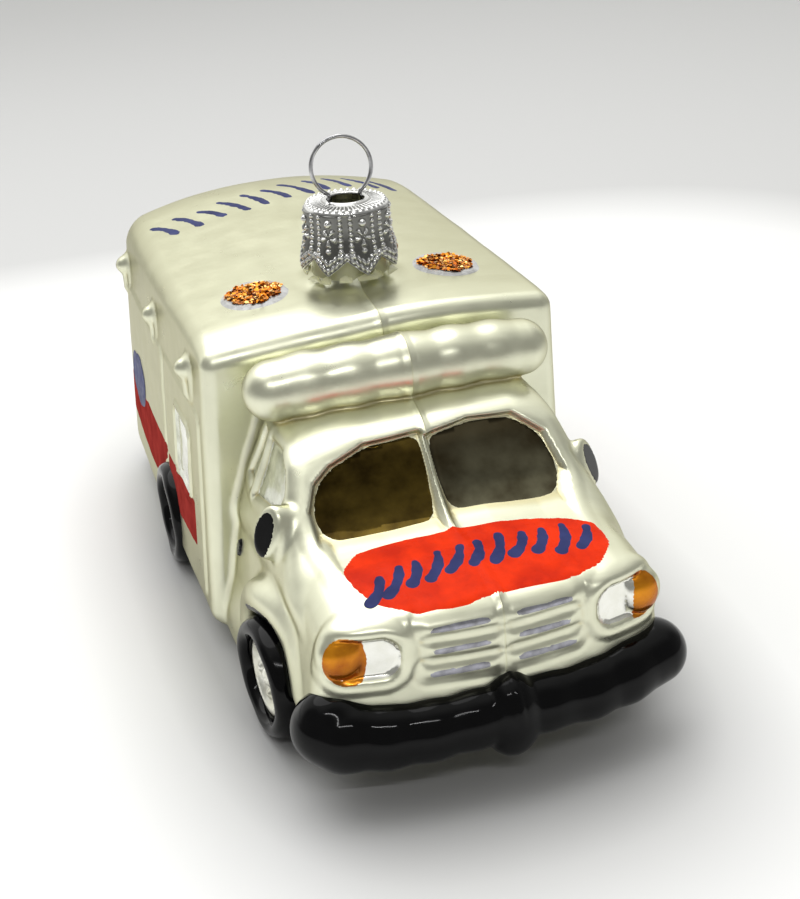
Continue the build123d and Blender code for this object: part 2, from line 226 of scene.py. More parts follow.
def box_skin(x, y, z):
    """The box body with its side panels, panes, lamps and rear doors."""
    along = np.clip((y - BOX_FRONT_Y) / (BOX_REAR_CORNER - BOX_FRONT_Y), 0.0, 1.0)
    across = np.clip(1.0 - (x / BOX_TOP_HALF) ** 2, 0.0, 1.0)
    edge = 1.7 + 1.3 * along
    side = np.abs(x) - box_half(x, z) - 0.25 * np.sin(math.pi * along) + edge
    roof = z - ROOF_EDGE_Z - (ROOF_CROWN + REAR_RISE * along) * across + edge
    bend = 0.018 - 0.010 * np.tanh(x / 5.0)
    roof = roof + bend * np.maximum(-4.5 - y, 0.0) ** 2 + 0.012 * np.maximum(y - REAR_Y + 12.0, 0.0) ** 2
    under = SILL - z + edge
    front = BOX_FRONT_Y - y - 0.3 * across + edge
    rear = y - BOX_REAR_CORNER - 3.2 * across + edge
    upright, length = np.maximum(roof, under), np.maximum(front, rear)
    out = np.sqrt(np.maximum(side, 0) ** 2 + np.maximum(upright, 0) ** 2
                  + np.maximum(length, 0) ** 2)
    d = out + np.minimum(np.maximum(np.maximum(side, upright), length), 0) - edge
    d += 0.05 * ripple(x, y, z, 5.0) + 0.02 * ripple(x, y, z, 1.9, 3.0)

    # side panels, the window with its frame, and the lamps along the top
    flank = step((np.abs(x) - BOX_TOP_HALF + 2.5) / 1.5)
    panels = [rounded_box(y - middle, z - PANEL_Z, half, PANEL_HALF_H, 1.8) for middle, half in PANELS]
    d -= flank * 0.28 * step(0.5 - np.minimum(*panels) / 0.9)
    pane = rounded_box(y - BOX_PANE_Y, z - BOX_PANE_Z, *BOX_PANE_HALF, BOX_PANE_ROUND)
    d -= flank * (0.3 * bump((pane - 0.55) / 0.75) - 0.26 * step(-pane / 0.9))
    for lamp_y, lamp_z in SIDE_LAMPS:
        out = np.abs(x) - box_half(x, lamp_z)
        pad = rounded_box(y - lamp_y, z - lamp_z, *LAMP_PAD_HALF, 1.8)
        pad = smooth_max(smooth_max(pad, out - 0.42, 0.9), -2.5 - out, 0.5)
        bulb = np.sqrt((y - lamp_y) ** 2 + (z - lamp_z - 1.3) ** 2 + (out * 0.8) ** 2) - 1.4
        stem = rounded_box(y - lamp_y, z - lamp_z + 1.0, 0.7, 1.6, 0.5)
        stem = smooth_max(smooth_max(stem, out - 0.95, 0.6), -2.5 - out, 0.4)
        d = smooth_min(d, smooth_min(smooth_min(pad, bulb, 0.5), stem, 0.5), 0.6)

    # rear doors
    stern = step((y - BOX_REAR_CORNER + 2.0) / 1.5)
    leaf = rounded_box(np.abs(x) - REAR_DOOR_X, z - REAR_DOOR_Z, *REAR_DOOR_HALF, 1.6)
    glass = rounded_box(np.abs(x) - REAR_PANE_X, z - REAR_PANE_Z, *REAR_PANE_HALF, REAR_PANE_ROUND)
    d -= stern * (0.3 * step(0.5 - leaf / 0.8) + 0.28 * bump((glass - 0.6) / 0.75)
                  - 0.30 * step(-glass / 0.9))

    # hollow behind the rear hub
    ring = np.hypot(y - AXLE_Y["rear"], z - WHEEL_R)
    return smooth_max(d, wheel_room(np.abs(x), ring, WHEEL_R - 0.8, 20.8), 0.3)


def cab_skin(x, y, z):
    """The cab: hood, windscreen, visor and doors, with lamps, grille and arches."""
    ax = np.abs(x)
    nose = NOSE_Y + nose_bow(x) - y
    nose += 0.35 * step((z - 15.0) / 7.0) * bump(x / 16.0)
    hood = line_field(y, z, (NOSE_Y, HOOD_FRONT_Z), (COWL_Y, COWL_Z)) + 0.0016 * x ** 2
    ahead = np.maximum(AXLE_Y["front"] - y, 0.0)
    flank = ax - CAB_HALF + 0.9 * step(ahead / 5.0) + np.where(x > 0, 0.003, 0.0012) * ahead ** 2
    flank -= 1.5 * step((y - AXLE_Y["front"] - 5.5) / 5.0) * step((11.0 - z) / 6.0)
    shoulder = line_field(-ax, z, (-CAB_HALF, BELT_Z), (-CAB_HALF + 3.7, WAIST_Z))
    low = smooth_max(flank, shoulder, 3.0)
    low = smooth_max(low, hood, 3.6)
    low = smooth_max(low, nose, 2.1)
    low = smooth_max(low, SILL - z + 6.6 * step((ahead - 3.6) / 2.6), 1.0)
    low = smooth_max(low, y - CAB_ROOF_Y, 1.0)

    screen = line_field(y, z, (COWL_Y, COWL_Z), (BROW_Y, BROW_Z)) + 0.0042 * x ** 2
    visor = line_field(y, z, (BROW_Y, BROW_Z), (VISOR_Y, VISOR_Z)) + 0.0016 * x ** 2
    roof = line_field(y, z, (VISOR_Y, VISOR_Z), (CAB_ROOF_Y, CAB_ROOF_Z)) + 0.0012 * x ** 2
    house = line_field(-ax, z, (-HOUSE_HALF, WAIST_Z), (-EAVE_HALF, EAVE_Z))
    cheek = line_field(-ax, z, (-EAVE_HALF, EAVE_Z), (-11.8, CAB_ROOF_Z - 0.9))
    cabin = smooth_max(smooth_max(screen, visor, 1.3), roof, 2.0)
    cabin = smooth_max(cabin, smooth_max(house, cheek, 1.8), 1.9)
    cabin = smooth_max(cabin, 18.5 - z, 2.0)
    cabin = smooth_max(cabin, y - CAB_ROOF_Y, 1.0)
    d = smooth_min(low, cabin, 2.2)

    # rolled arch over the front wheel
    ring = np.hypot(y - AXLE_Y["front"], z - WHEEL_R)
    spread = CAB_HALF - 2.9 + 2.0 * step((y - AXLE_Y["front"] + 6.0) / 10.0)
    arch = np.hypot((ring - ARCH_R) * 0.95, ax - spread) - ARCH_ROLL
    arch = smooth_max(arch, SILL + 0.6 + 4.2 * step((ahead - 2.0) / 3.0) - z, 1.0)
    d = smooth_min(d, arch, 1.2)
    d = smooth_max(d, wheel_room(ax, ring, WHEEL_R + 0.35, 19.2), 0.4)
    d += 0.07 * ripple(x, y, z, 4.0, 1.0) + 0.025 * ripple(x, y, z, 1.6, 2.0)

    # panes sunk in raised frames
    front = step((BROW_Y + 6.0 - y) / 2.0)
    pane = np.minimum(polygon(x, z, WINDSCREENS["left"], 0.35), polygon(-x, z, WINDSCREENS["right"], 0.35))
    d -= front * (0.14 * bump((pane - 1.0) / 1.4) - 0.70 * step(0.5 - pane / 1.0))
    outer = step((ax - 12.4) / 1.0)
    for outline in (DOOR_PANE, VENT_PANE):
        pane = polygon(y, z, outline, 0.3)
        d -= outer * (0.12 * bump((pane - 0.7) / 1.1) - 0.40 * step(0.4 - pane / 0.8))

    # lamps, grille bars
    face = step((NOSE_Y + 5.5 - y) / 1.5)
    lamp = rounded_box(ax - LAMP_X, z - LAMP_Z, *LAMP_HALF, LAMP_ROUND)
    d -= face * (0.26 * bump((lamp - 0.8) / 1.2) - 0.55 * step(0.3 - lamp / 0.8))
    bulb = blob(ax, y, z, (AMBER_X + 0.2, AMBER_Y + 0.2, LAMP_Z), (2.7, 1.9, 2.75))
    d = smooth_min(d, smooth_max(bulb, AMBER_X - 1.7 - ax, 0.5), 0.3)
    for height, end in GRILLE:
        bar = rounded_box(ax - (end + 0.6) / 2, z - height - 0.012 * ax ** 1.5,
                          (end - 0.6) / 2, BAR_HALF_H, 0.55)
        d -= face * (0.24 * step(0.5 - bar / 1.3) - 0.07 * bump((bar - 1.0) / 0.6))
    return d


LIGHT_BAR_R = 3.45
MIRROR_Y, MIRROR_Z = -28.1, 24.0
# side, distance from the middle, distance behind MIRROR_Y, tilt of the face, size of the fillet
MIRRORS = ((-1, 18.4, 0.0, 0.43, 1.0), (1, 17.7, 1.3, 0.62, 0.5))
NECK_FOOT_R = 4.1
LIGHT_BAR = [(x, BOX_FRONT_Y - 6.2 + 0.0042 * x ** 2, CAB_ROOF_Z + 1.35 - 0.003 * x ** 2)
             for x in (-14.7, -11.0, -6.0, -1.2, 0.0, 1.2, 6.0, 11.0, 14.7)]
LIGHT_BAR_RADII = [LIGHT_BAR_R * k for k in (1.0, 1.03, 1.03, 1.02, 1.0, 1.02, 1.03, 1.01, 0.96)]


def skin(x, y, z):
    """The whole silvered skin of the vehicle."""
    box, cab = box_skin(x, y, z), cab_skin(x, y, z)
    d = smooth_min(box, cab, 1.0)
    bar = rod(x, y, z, LIGHT_BAR, LIGHT_BAR_RADII) + 0.05 * ripple(x, y, z, 6.0, 5.0)
    d = smooth_min(d, bar, 0.55)
    ax = np.abs(x)
    for sign, out, back, turn, fillet in MIRRORS:
        ear = blob(sign * x, y, z, (out, MIRROR_Y + back, MIRROR_Z), (2.9, 1.9, 3.2))
        face = (math.sqrt(1 - turn ** 2) * (sign * x - out - 1.5) - turn * (y - MIRROR_Y - back)
                + 0.33 * (z - MIRROR_Z))
        d = smooth_min(d, smooth_max(ear, face, 0.5), fillet)
    foot = np.hypot(x, y - NECK_Y)
    foot = smooth_max(smooth_max(foot - NECK_FOOT_R, z - CROWN_Z - 1.6, 0.9), CROWN_Z - 6.0 - z, 0.5)
    d = smooth_min(d, foot, 3.2)
    seam = np.clip(z - 9.0, 0, 1) * np.clip((26.0 - y) / 4.0, 0, 1)
    d -= 0.14 * bump((x - SEAM_X - 0.25 * np.sin(y / 4.0)) / 0.8) * seam
    return d


# ---- meshes from fields -----------------------------------------------------------------------
def gradient(field, points, eps=0.02):
    """Unit outward normals and slopes of a field at points."""
    slope = np.empty_like(points)
    for axis in range(3):
        shift = np.zeros(3)
        shift[axis] = eps
        slope[:, axis] = (field(*(points + shift).T) - field(*(points - shift).T)) / (2 * eps)
    size = np.linalg.norm(slope, axis=1, keepdims=True)
    return slope / np.maximum(size, 1e-9), size[:, 0]


def settle(field, points, rounds=4):
    """Points moved onto the field's surface."""
    for _ in range(rounds):
        normal, size = gradient(field, points)
        move = np.clip(field(*points.T) / np.maximum(size, 0.3), -0.4, 0.4)
        points = points - normal * move[:, None]
    return points


def new_piece(name, vertices, faces, normals=None, body="glass"):
    """A mesh object from millimetre points, smooth shaded, riding on a body."""
    mesh = bpy.data.meshes.new(name)
    mesh.from_pydata((np.asarray(vertices) * MM).tolist(), [], faces)
    mesh.shade_smooth()
    mesh.validate()
    if normals is not None and len(normals) == len(mesh.vertices):
        mesh.normals_split_custom_set_from_vertices(np.asarray(normals).tolist())
    piece = bpy.data.objects.new(name, mesh)
    bpy.context.scene.collection.objects.link(piece)
    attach(piece, body)
    return piece


def field_mesh(field, low, high, voxel):
    """Vertices, quads and normals of a field's surface inside a box."""
    low, high = np.asarray(low, float), np.asarray(high, float)
    axes = [np.arange(a, b, voxel) for a, b in zip(low, high)]
    block = np.empty([len(axis) for axis in axes], np.float32)
    grid_y, grid_z = np.meshgrid(axes[1], axes[2], indexing="ij")
    slab = 24
    for i in range(0, len(axes[0]), slab):
        xs = axes[0][i:i + slab]
        shape = (len(xs), *grid_y.shape)
        block[i:i + slab] = field(np.broadcast_to(xs[:, None, None], shape),
                                  np.broadcast_to(grid_y, shape), np.broadcast_to(grid_z, shape))
    grid = openvdb.FloatGrid()
    grid.copyFromArray(np.clip(block, -3 * voxel, 3 * voxel))
    points, quads = grid.convertToQuads()
    points = settle(field, low + np.asarray(points, float) * voxel)
    return points, np.asarray(quads), gradient(field, points)[0]


def cast(field, u, v, view, side=1.0, start=None):
    """Points of the skin seen at u, v in a view: front, back, top or side."""
    n = len(u)
    if view == "front":
        origin, ray = np.stack([u, np.full(n, NOSE_Y - 6.0), v], 1), np.array([0, 1.0, 0])
    elif view == "back":
        origin, ray = np.stack([u, np.full(n, REAR_Y + 4.0), v], 1), np.array([0, -1.0, 0])
    elif view == "top":
        origin, ray = np.stack([u, v, np.full(n, start or CROWN_Z + 5.0)], 1), np.array([0, 0, -1.0])
    else:
        origin = np.stack([np.full(n, side * (BOX_HALF + 4.0)), u, v], 1)
        ray = np.array([-side, 0, 0])
    origin = origin.astype(float)
    for _ in range(70):
        gap = field(*origin.T)
        origin += ray * np.clip(gap, -0.3, 8.0)[:, None] * 0.8
    return origin


def run_length(line):
    """Distance along a line at each of its points."""
    return np.concatenate([[0], np.cumsum(np.linalg.norm(np.diff(line, axis=0), axis=1))])


def at_run(line, at):
    """Flat points at distances along a line."""
    run = run_length(line)
    return np.stack([np.interp(at, run, line[:, k]) for k in (0, 1)], 1)


def resample(outline, spacing):
    """Evenly spaced points along a closed outline."""
    outline = np.asarray(outline, float)
    closed = np.vstack([outline, outline[:1]])
    length = run_length(closed)[-1]
    return at_run(closed, np.linspace(0, length, max(8, int(length / spacing)), endpoint=False))


def softened(outline, rounds, spacing):
    """A closed outline with its corners rounded off."""
    points = resample(outline, spacing)
    for _ in range(rounds):
        points = (np.roll(points, 1, 0) + 2 * points + np.roll(points, -1, 0)) / 4
    return points


def flat_mesh(outline, spacing):
    """Points and triangles filling an outline, its rim first."""
    rim = resample(outline, spacing * 0.7)
    low, high = rim.min(0), rim.max(0)
    u, v = np.meshgrid(np.arange(low[0], high[0], spacing), np.arange(low[1], high[1], spacing))
    u = u + (np.arange(u.shape[0]) % 2)[:, None] * spacing / 2
    grid = np.stack([u.ravel(), v.ravel()], 1)
    grid = grid[polygon(grid[:, 0], grid[:, 1], rim) < -0.55 * spacing]
    points = np.vstack([rim, grid])
    loop = list(range(len(rim)))
    made = delaunay_2d_cdt([Vector(p) for p in points], [], [loop], 1, 1e-5)
    return np.array([tuple(p) for p in made[0]]), [tuple(f) for f in made[2]], rim


VIEWS = {"front": ((0, 2), (0, -1, 0)), "back": ((0, 2), (0, 1, 0)), "top": ((0, 1), (0, 0, 1)),
         "side": ((1, 2), (1, 0, 0))}
COVERED = []                            # outlines under which the skin is let in, so that it stays hidden


def let_in(points, normals, depth=0.24):
    """Points of the skin moved in where a coat of paint or a pane lies on them."""
    sink = np.zeros(len(points))
    for outline, view, side, low, high in COVERED:
        axes, ray = VIEWS[view]
        near = np.nonzero(np.all((points > low) & (points < high), 1)
                          & (normals.dot(np.array(ray) * side) > 0.15))[0]
        depths = -polygon(points[near, axes[0]], points[near, axes[1]], outline)
        sink[near] = np.maximum(sink[near], depth * step((depths - 0.12) / 0.3))
    return points - normals * sink[:, None]


def film(name, outlines, view, field, side=1.0, spacing=0.4, lift=0.05, start=None):
    """A thin coat of paint or a silvered pane laid on the skin inside flat outlines."""
    vertices, faces, normals = [], [], []
    for outline in outlines:
        flat, triangles, rim = flat_mesh(outline, spacing)
        edge = -polygon(flat[:, 0], flat[:, 1], rim)
        points = cast(field, flat[:, 0], flat[:, 1], view, side, start)
        normal = gradient(field, points)[0]
        points = points + normal * (lift * step(edge / (spacing * 0.8)) - 0.02)[:, None]
        turn = {"front": 1, "back": -1, "top": 1, "side": side}[view] > 0
        COVERED.append((rim, view, side, points.min(0) - 0.6, points.max(0) + 0.6))
        vertices.append(points)
        normals.append(normal)
        count = sum(len(v) for v in vertices[:-1])
        for face in triangles:
            face = face if turn else face[::-1]
            faces.append(tuple(i + count for i in face))
    vertices, normals = np.vstack(vertices), np.vstack(normals)
    first = np.array(faces[0])
    way = np.cross(vertices[first[1]] - vertices[first[0]], vertices[first[2]] - vertices[first[0]])
    if way.dot(normals[first[0]]) < 0:
        faces = [face[::-1] for face in faces]
    return new_piece(name, vertices, faces, normals)


def blurred_outline(outline, wobble=0.12, seed=0.0, spacing=0.5):
    """A hand-painted version of an outline: rounded corners and a slightly unsteady edge."""
    points = softened(outline, 3, spacing)
    out = points - points.mean(0)
    out /= np.maximum(np.linalg.norm(out, axis=1, keepdims=True), 1e-9)
    run = np.arange(len(points)) * spacing
    wave = np.sin(run / 1.7 + seed) + 0.6 * np.sin(run / 0.77 + 2.1 * seed)
    return points + out * (wobble * wave)[:, None]


def stroke(points, width, taper=0.25, seed=0.0):
    """Outline of a brush stroke along a line of points."""
    points = np.asarray(points, float)
    length = run_length(points)[-1]
    line = at_run(points, np.linspace(0, length, max(6, int(length / 0.3))))
    for _ in range(4):
        line[1:-1] = (line[:-2] + 2 * line[1:-1] + line[2:]) / 4
    along = np.gradient(line, axis=0)
    along /= np.linalg.norm(along, axis=1, keepdims=True)
    across = np.stack([-along[:, 1], along[:, 0]], 1)
    t = np.linspace(0, 1, len(line))
    half = width / 2 * (1 - taper * t + 0.1 * np.sin(9 * t + seed) + 0.06 * np.sin(23 * t + 3 * seed))
    left, right = line + across * half[:, None], line - across * half[:, None]

    tip = [line[-1] + half[-1] * (across[-1] * math.cos(a) + along[-1] * math.sin(a))
           for a in np.linspace(0, math.pi, 7)[1:-1]]
    tail = [line[0] + half[0] * (-across[0] * math.cos(a) - along[0] * math.sin(a))
            for a in np.linspace(0, math.pi, 7)[1:-1]]
    return np.vstack([left, tip, right[::-1], tail])


# ---- turned and swept pieces ------------------------------------------------------------------
def ring_faces(rings, sides, closed=False):
    """Quads between rings of points; with closed, the last ring is joined to the first."""
    faces = []
    for i in range(rings if closed else rings - 1):
        low, high = i * sides, (i + 1) % rings * sides
        for j in range(sides):
            k = (j + 1) % sides
            faces.append((low + j, low + k, high + k, high + j))
    return faces


def lathe(profile, steps):
    """Points and quads of a profile (radius, height) turned about +Z."""
    profile = np.asarray(profile, float)
    angle = np.arange(steps) * 2 * math.pi / steps
    points = np.empty((len(profile), steps, 3))
    points[..., 0] = profile[:, :1] * np.cos(angle)
    points[..., 1] = profile[:, :1] * np.sin(angle)
    points[..., 2] = profile[:, 1:2]
    return points.reshape(-1, 3), ring_faces(len(profile), steps)


def smooth_line(points, spacing):
    """Points of a Catmull-Rom curve through control points."""
    points = np.asarray(points, float)
    full = np.vstack([2 * points[0] - points[1], points, 2 * points[-1] - points[-2]])
    out = []
    for a, b, c, d in zip(full, full[1:], full[2:], full[3:]):
        count = max(2, int(np.linalg.norm(c - b) / spacing))
        for t in np.arange(count) / count:
            out.append(0.5 * (2 * b + (c - a) * t + (2 * a - 5 * b + 4 * c - d) * t ** 2
                              + (3 * b - a - 3 * c + d) * t ** 3))
    return np.array(out + [points[-1]])


def tube(line, radius, sides=16):
    """Points and quads of a wire along a line, closed by round ends."""
    line = np.asarray(line, float)
    along = np.gradient(line, axis=0)
    along /= np.linalg.norm(along, axis=1, keepdims=True)
    side = np.cross(along[0], (0.0, 1.0, 0.0))
    if np.linalg.norm(side) < 1e-3:
        side = np.array((1.0, 0.0, 0.0))
    points = []
    for centre, forward in zip(line, along):
        side = side - forward * side.dot(forward)
        side /= np.linalg.norm(side)
        other = np.cross(forward, side)
        for j in range(sides):
            a = 2 * math.pi * j / sides
            points.append(centre + radius * (side * math.cos(a) + other * math.sin(a)))
    count = len(line)
    faces = ring_faces(count, sides)
    for end, forward in ((0, -along[0]), (count - 1, along[-1])):
        points.append(line[end] + forward * radius * 0.6)
        tip = len(points) - 1
        for j in range(sides):
            pair = (end * sides + j, end * sides + (j + 1) % sides)
            faces.append((*pair, tip) if end else (*pair[::-1], tip))
    return np.array(points), faces


# ---- materials --------------------------------------------------------------------------------
class Nodes:
    """Shader nodes in one tree."""

    def __init__(self, tree):
        self.tree = tree

    def node(self, kind, **settings):
        """A new node; each setting is an input's value or a property."""
        made = self.tree.nodes.new("ShaderNode" + kind)
        for key, value in settings.items():
            if key in made.inputs:
                made.inputs[key].default_value = value
            else:
                setattr(made, key, value)
        return made

    def link(self, start, end):
        self.tree.links.new(start, end)

    def math(self, operation, *values):
        """Result of a sum on sockets and numbers."""
        made = self.node("Math", operation=operation)
        for socket, value in zip(made.inputs, values):
            if isinstance(value, bpy.types.NodeSocket):
                self.link(value, socket)
            else:
                socket.default_value = value
        return made.outputs[0]


class Finish(Nodes):
    """A node material built around one Principled shader."""

    def __init__(self, name, **settings):
        self.material = bpy.data.materials.new(name)
        self.material.use_nodes = True
        super().__init__(self.material.node_tree)
        self.shader = self.tree.nodes["Principled BSDF"]
        for key, value in settings.items():
            self.shader.inputs[key.replace("_", " ")].default_value = value
        self.place = self.node("TexCoord").outputs["Object"]

    def noise(self, per_mm, stretch=(1, 1, 1), detail=3.0, seed=0.0):
        """Noise in object space with about per_mm features a millimetre."""
        mapping = self.node("Mapping")
        mapping.inputs["Scale"].default_value = stretch
        mapping.inputs["Location"].default_value = (seed, 2 * seed, 3 * seed)
        self.link(self.place, mapping.inputs["Vector"])
        noise = self.node("TexNoise", Scale=per_mm / MM, Detail=detail, Roughness=0.55)
        self.link(mapping.outputs["Vector"], noise.inputs["Vector"])
        return noise.outputs["Fac"]

    def scaled(self, value, factor, shift=0.0):
        """A value times a factor, plus a shift."""
        return self.math("MULTIPLY_ADD", value, factor, shift)

    def axes(self):
        """The place in object space, as X, Y and Z."""
        split = self.node("SeparateXYZ")
        self.link(self.place, split.inputs[0])
        return split.outputs

    def ramp(self, value, *stops, shift=0.0):
        """Colour ramp from (place, colour or grey) stops, its value shifted first."""
        if shift:
            value = self.scaled(value, 1.0, shift)
        ramp = self.node("ValToRGB")
        elements = ramp.color_ramp.elements
        while len(elements) < len(stops):
            elements.new(0.5)
        for element, (place, colour) in zip(elements, stops):
            element.position = place
            grey = isinstance(colour, (int, float))
            element.color = (colour, colour, colour, 1) if grey else (*colour, 1)
        self.link(value, ramp.inputs["Fac"])
        return ramp.outputs["Color"]

    def mix(self, factor, a, b, mode="MIX"):
        """Mix of two colours, each a colour or a socket."""
        mix = self.node("Mix", data_type="RGBA", blend_type=mode)
        for socket, value in ((mix.inputs[0], factor), (mix.inputs[6], a), (mix.inputs[7], b)):
            if isinstance(value, bpy.types.NodeSocket):
                self.link(value, socket)
            else:
                socket.default_value = value if isinstance(value, float) else (*value, 1)
        return mix.outputs[2]

    def attribute(self, name):
        return self.node("Attribute", attribute_name=name).outputs["Fac"]

    def to(self, socket, name):
        self.link(socket, self.shader.inputs[name])
        return self

    def bump(self, strength, distance_mm, *heights):
        """Bump from one or more height sockets."""
        height = heights[0]
        for other in heights[1:]:
            height = self.math("ADD", height, other)
        bump = self.node("Bump", Strength=strength, Distance=distance_mm * MM)
        self.link(height, bump.inputs["Height"])
        return self.to(bump.outputs["Normal"], "Normal")

    def rough(self, per_mm, low, high, detail=3, seed=3.0, start=0.3, end=0.7):
        """Roughness that wanders between two values."""
        grain = self.noise(per_mm, detail=detail, seed=seed)
        return self.to(self.ramp(grain, (start, low), (end, high)), "Roughness")


def pearl_finish():
    """Satin pearl lacquer brushed over silvered glass, with painted shade where it's seen edge on and a
    darker, yellower painted shade in the folds.
    """
    f = Finish("pearl_lacquer", Metallic=0.92, Coat_Weight=0.08, Coat_Roughness=0.15)
    f.shader.inputs["Specular Tint"].default_value = (0.62, 0.60, 0.48, 1)
    colour = f.mix(f.noise(0.10, detail=3), (0.80, 0.81, 0.62), (0.88, 0.885, 0.70))
    streak = f.noise(0.9, (0.3, 1.0, 0.5), detail=5, seed=4.0)
    colour = f.mix(f.ramp(streak, (0.45, 0.0), (0.8, 0.3)), colour, (0.74, 0.74, 0.55))
    # painted shade: the pearl is darkened where it's seen edge on
    colour = f.mix(f.ramp(f.node("LayerWeight", Blend=0.35).outputs["Facing"], (0.25, 0.0), (0.85, 0.7)),
                   colour, (0.46, 0.45, 0.33))
    # painted shade in the folds: darker and yellower where the skin folds in
    colour = f.mix(f.ramp(f.attribute("fold_shade"), (0.0, 0.0), (1.0, 0.75)), colour, (0.55, 0.48, 0.24))
    x, y, _ = f.axes()
    wander = f.math("SINE", f.scaled(y, 0.25 / MM))
    offset = f.math("SUBTRACT", f.scaled(x, 1 / MM), f.scaled(wander, 0.25))
    middle = SEAM_X + 0.5
    seam = f.ramp(offset, (middle - 0.16, 0.0), (middle, 1.0), (middle + 0.16, 0.0), shift=0.5)
    behind_cap = f.ramp(f.scaled(y, 1 / MM), (0.46, 0.0), (0.5, 1.0), shift=0.5 - NECK_Y)
    seam = f.mix(behind_cap, seam, (0.0, 0.0, 0.0))
    colour = f.mix(f.scaled(seam, 0.4), colour, (0.72, 0.70, 0.44))
    f.to(colour, "Base Color")
    f.rough(0.3, 0.27, 0.40, detail=4, seed=2.0, end=0.75)
    brush = f.noise(0.8, (0.25, 1.3, 0.5), detail=3, seed=7.0)
    return f.bump(0.5, 0.10, f.scaled(brush, 0.35), seam).material


def silver_finish(name, light, dark, rough=(0.05, 0.16), cloud=0.25, coat=0.6, fade=0.0):
    """Bare silvered glass, clouded inside and, with fade, painted darker towards the brow as a painted
    reflection.
    """
    f = Finish(name, Metallic=1.0, Coat_Weight=coat, Coat_Roughness=0.03)
    colour = f.mix(f.ramp(f.noise(cloud, detail=4), (0.38, 0.0), (0.68, 1.0)), dark, light)
    # with fade, a painted reflection: the glass is darkened towards the brow
    height = f.scaled(f.axes()["Z"], 1 / (7.0 * MM), -(BROW_Z - 7.5) / 7.0)
    f.to(f.mix(f.ramp(height, (0.2, 0.0), (0.9, fade)), colour, dark), "Base Color")
    f.rough(0.5, *rough)
    return f.bump(0.25, 0.08, f.noise(0.4, detail=2, seed=5.0)).material


def lacquer_finish(name, colour, deep, rough=0.25, metal=0.0, coat=0.15, pool=0.3, shine=0.25, rim=0.0):
    """Brushed-on lacquer, a little thicker and deeper in places and, with rim, painted deeper where it's
    seen edge on, as painted shade at its rim.
    """
    f = Finish(name, Metallic=metal, Coat_Weight=coat, Coat_Roughness=0.06, Specular_IOR_Level=shine)
    tone = f.mix(f.ramp(f.noise(pool, detail=4), (0.35, 0.0), (0.7, 1.0)), colour, deep)
    # painted shade: with rim, the lacquer is darkened where it's seen edge on
    edge = f.ramp(f.node("LayerWeight", Blend=0.5).outputs["Facing"], (0.05, 0.0), (0.55, rim))
    f.to(f.mix(edge, tone, deep), "Base Color")
    f.rough(0.8, rough * 0.8, rough * 1.25, seed=1.0)
    return f.bump(0.15, 0.05, f.noise(0.9, (0.5, 1, 1), detail=3, seed=6.0)).material


def black_finish():
    """Thick glossy black lacquer with a few soft runs."""
    f = Finish("black_lacquer", IOR=1.26)
    f.to(f.mix(f.noise(0.4, detail=3), (0.001, 0.001, 0.0012), (0.003, 0.003, 0.0035)), "Base Color")
    f.rough(0.5, 0.05, 0.14, detail=4, seed=2.0, start=0.35, end=0.75)
    grain = f.scaled(f.noise(1.6, seed=9.0), 0.15)
    return f.bump(0.3, 0.08, f.noise(0.3, detail=2, seed=4.0), grain).material


def glitter_finish():
    """Foil flakes from dark brown to bright gold, each its own shade."""
    f = Finish("amber_glitter", Metallic=0.95, Roughness=0.32)
    shade = f.node("NewGeometry").outputs["Random Per Island"]
    f.to(f.ramp(shade, (0.0, (0.36, 0.07, 0.004)), (0.4, (0.62, 0.19, 0.010)),
                (0.8, (0.84, 0.36, 0.035)), (1.0, (1.0, 0.72, 0.30))), "Base Color")
    return f.material


def wire_finish():
    """Drawn steel wire."""
    f = Finish("ring_wire", Metallic=1.0)
    streak = f.ramp(f.noise(0.6, detail=4), (0.35, 0.0), (0.7, 1.0))
    f.to(f.mix(streak, (0.30, 0.30, 0.31), (0.62, 0.62, 0.63)), "Base Color")
    return f.rough(0.42, 0.10, 0.20).material


def cap_finish():
    """Bright stamped tin, with painted shade in its hollows and on its inside."""
    f = Finish("cap_metal", Metallic=1.0)
    bright = f.mix(f.noise(1.2, detail=3), (0.66, 0.66, 0.65), (0.84, 0.84, 0.83))
    f.to(f.mix(f.attribute("hollow"), bright, (0.10, 0.10, 0.085)), "Base Color")
    return f.rough(0.8, 0.10, 0.22).material


def glass_finish():
    """Thin yellowish glass at the broken rim of the neck."""
    f = Finish("rim_glass", Roughness=0.15, Transmission_Weight=0.35, IOR=1.45)
    f.to(f.mix(f.noise(0.5), (0.92, 0.92, 0.66), (0.82, 0.81, 0.50)), "Base Color")
    return f.material


PEARL = pearl_finish()
# Both windscreens are the same silvered glass: the right one is painted dark for the dark reflection it
# shows, and the left one has a painted reflection, darker towards its top.
DARK_REFLECTION_PANE = silver_finish("dark_reflection_pane", (0.10, 0.066, 0.010), (0.026, 0.015, 0.001), (0.04, 0.10), 0.22,
                          coat=0.1)
GREY_PANE = silver_finish("silver_pane", (0.15, 0.14, 0.088), (0.034, 0.025, 0.009), (0.05, 0.12), 0.16, 0.2,
                          fade=0.9)
SIDE_PANE = silver_finish("side_pane", (0.74, 0.76, 0.66), (0.46, 0.47, 0.36), (0.10, 0.25), 0.4)
LAMP_SILVER = silver_finish("lamp_silver", (0.96, 0.96, 0.90), (0.88, 0.88, 0.80), (0.14, 0.26), 0.8)
HUB_SILVER = silver_finish("hub_silver", (0.94, 0.94, 0.86), (0.66, 0.65, 0.54), (0.25, 0.42), 0.5, 0.2)
GRILLE_SILVER = lacquer_finish("grille_silver", (0.50, 0.50, 0.57), (0.26, 0.26, 0.28), 0.32, 0.85, 0.1, 0.8)
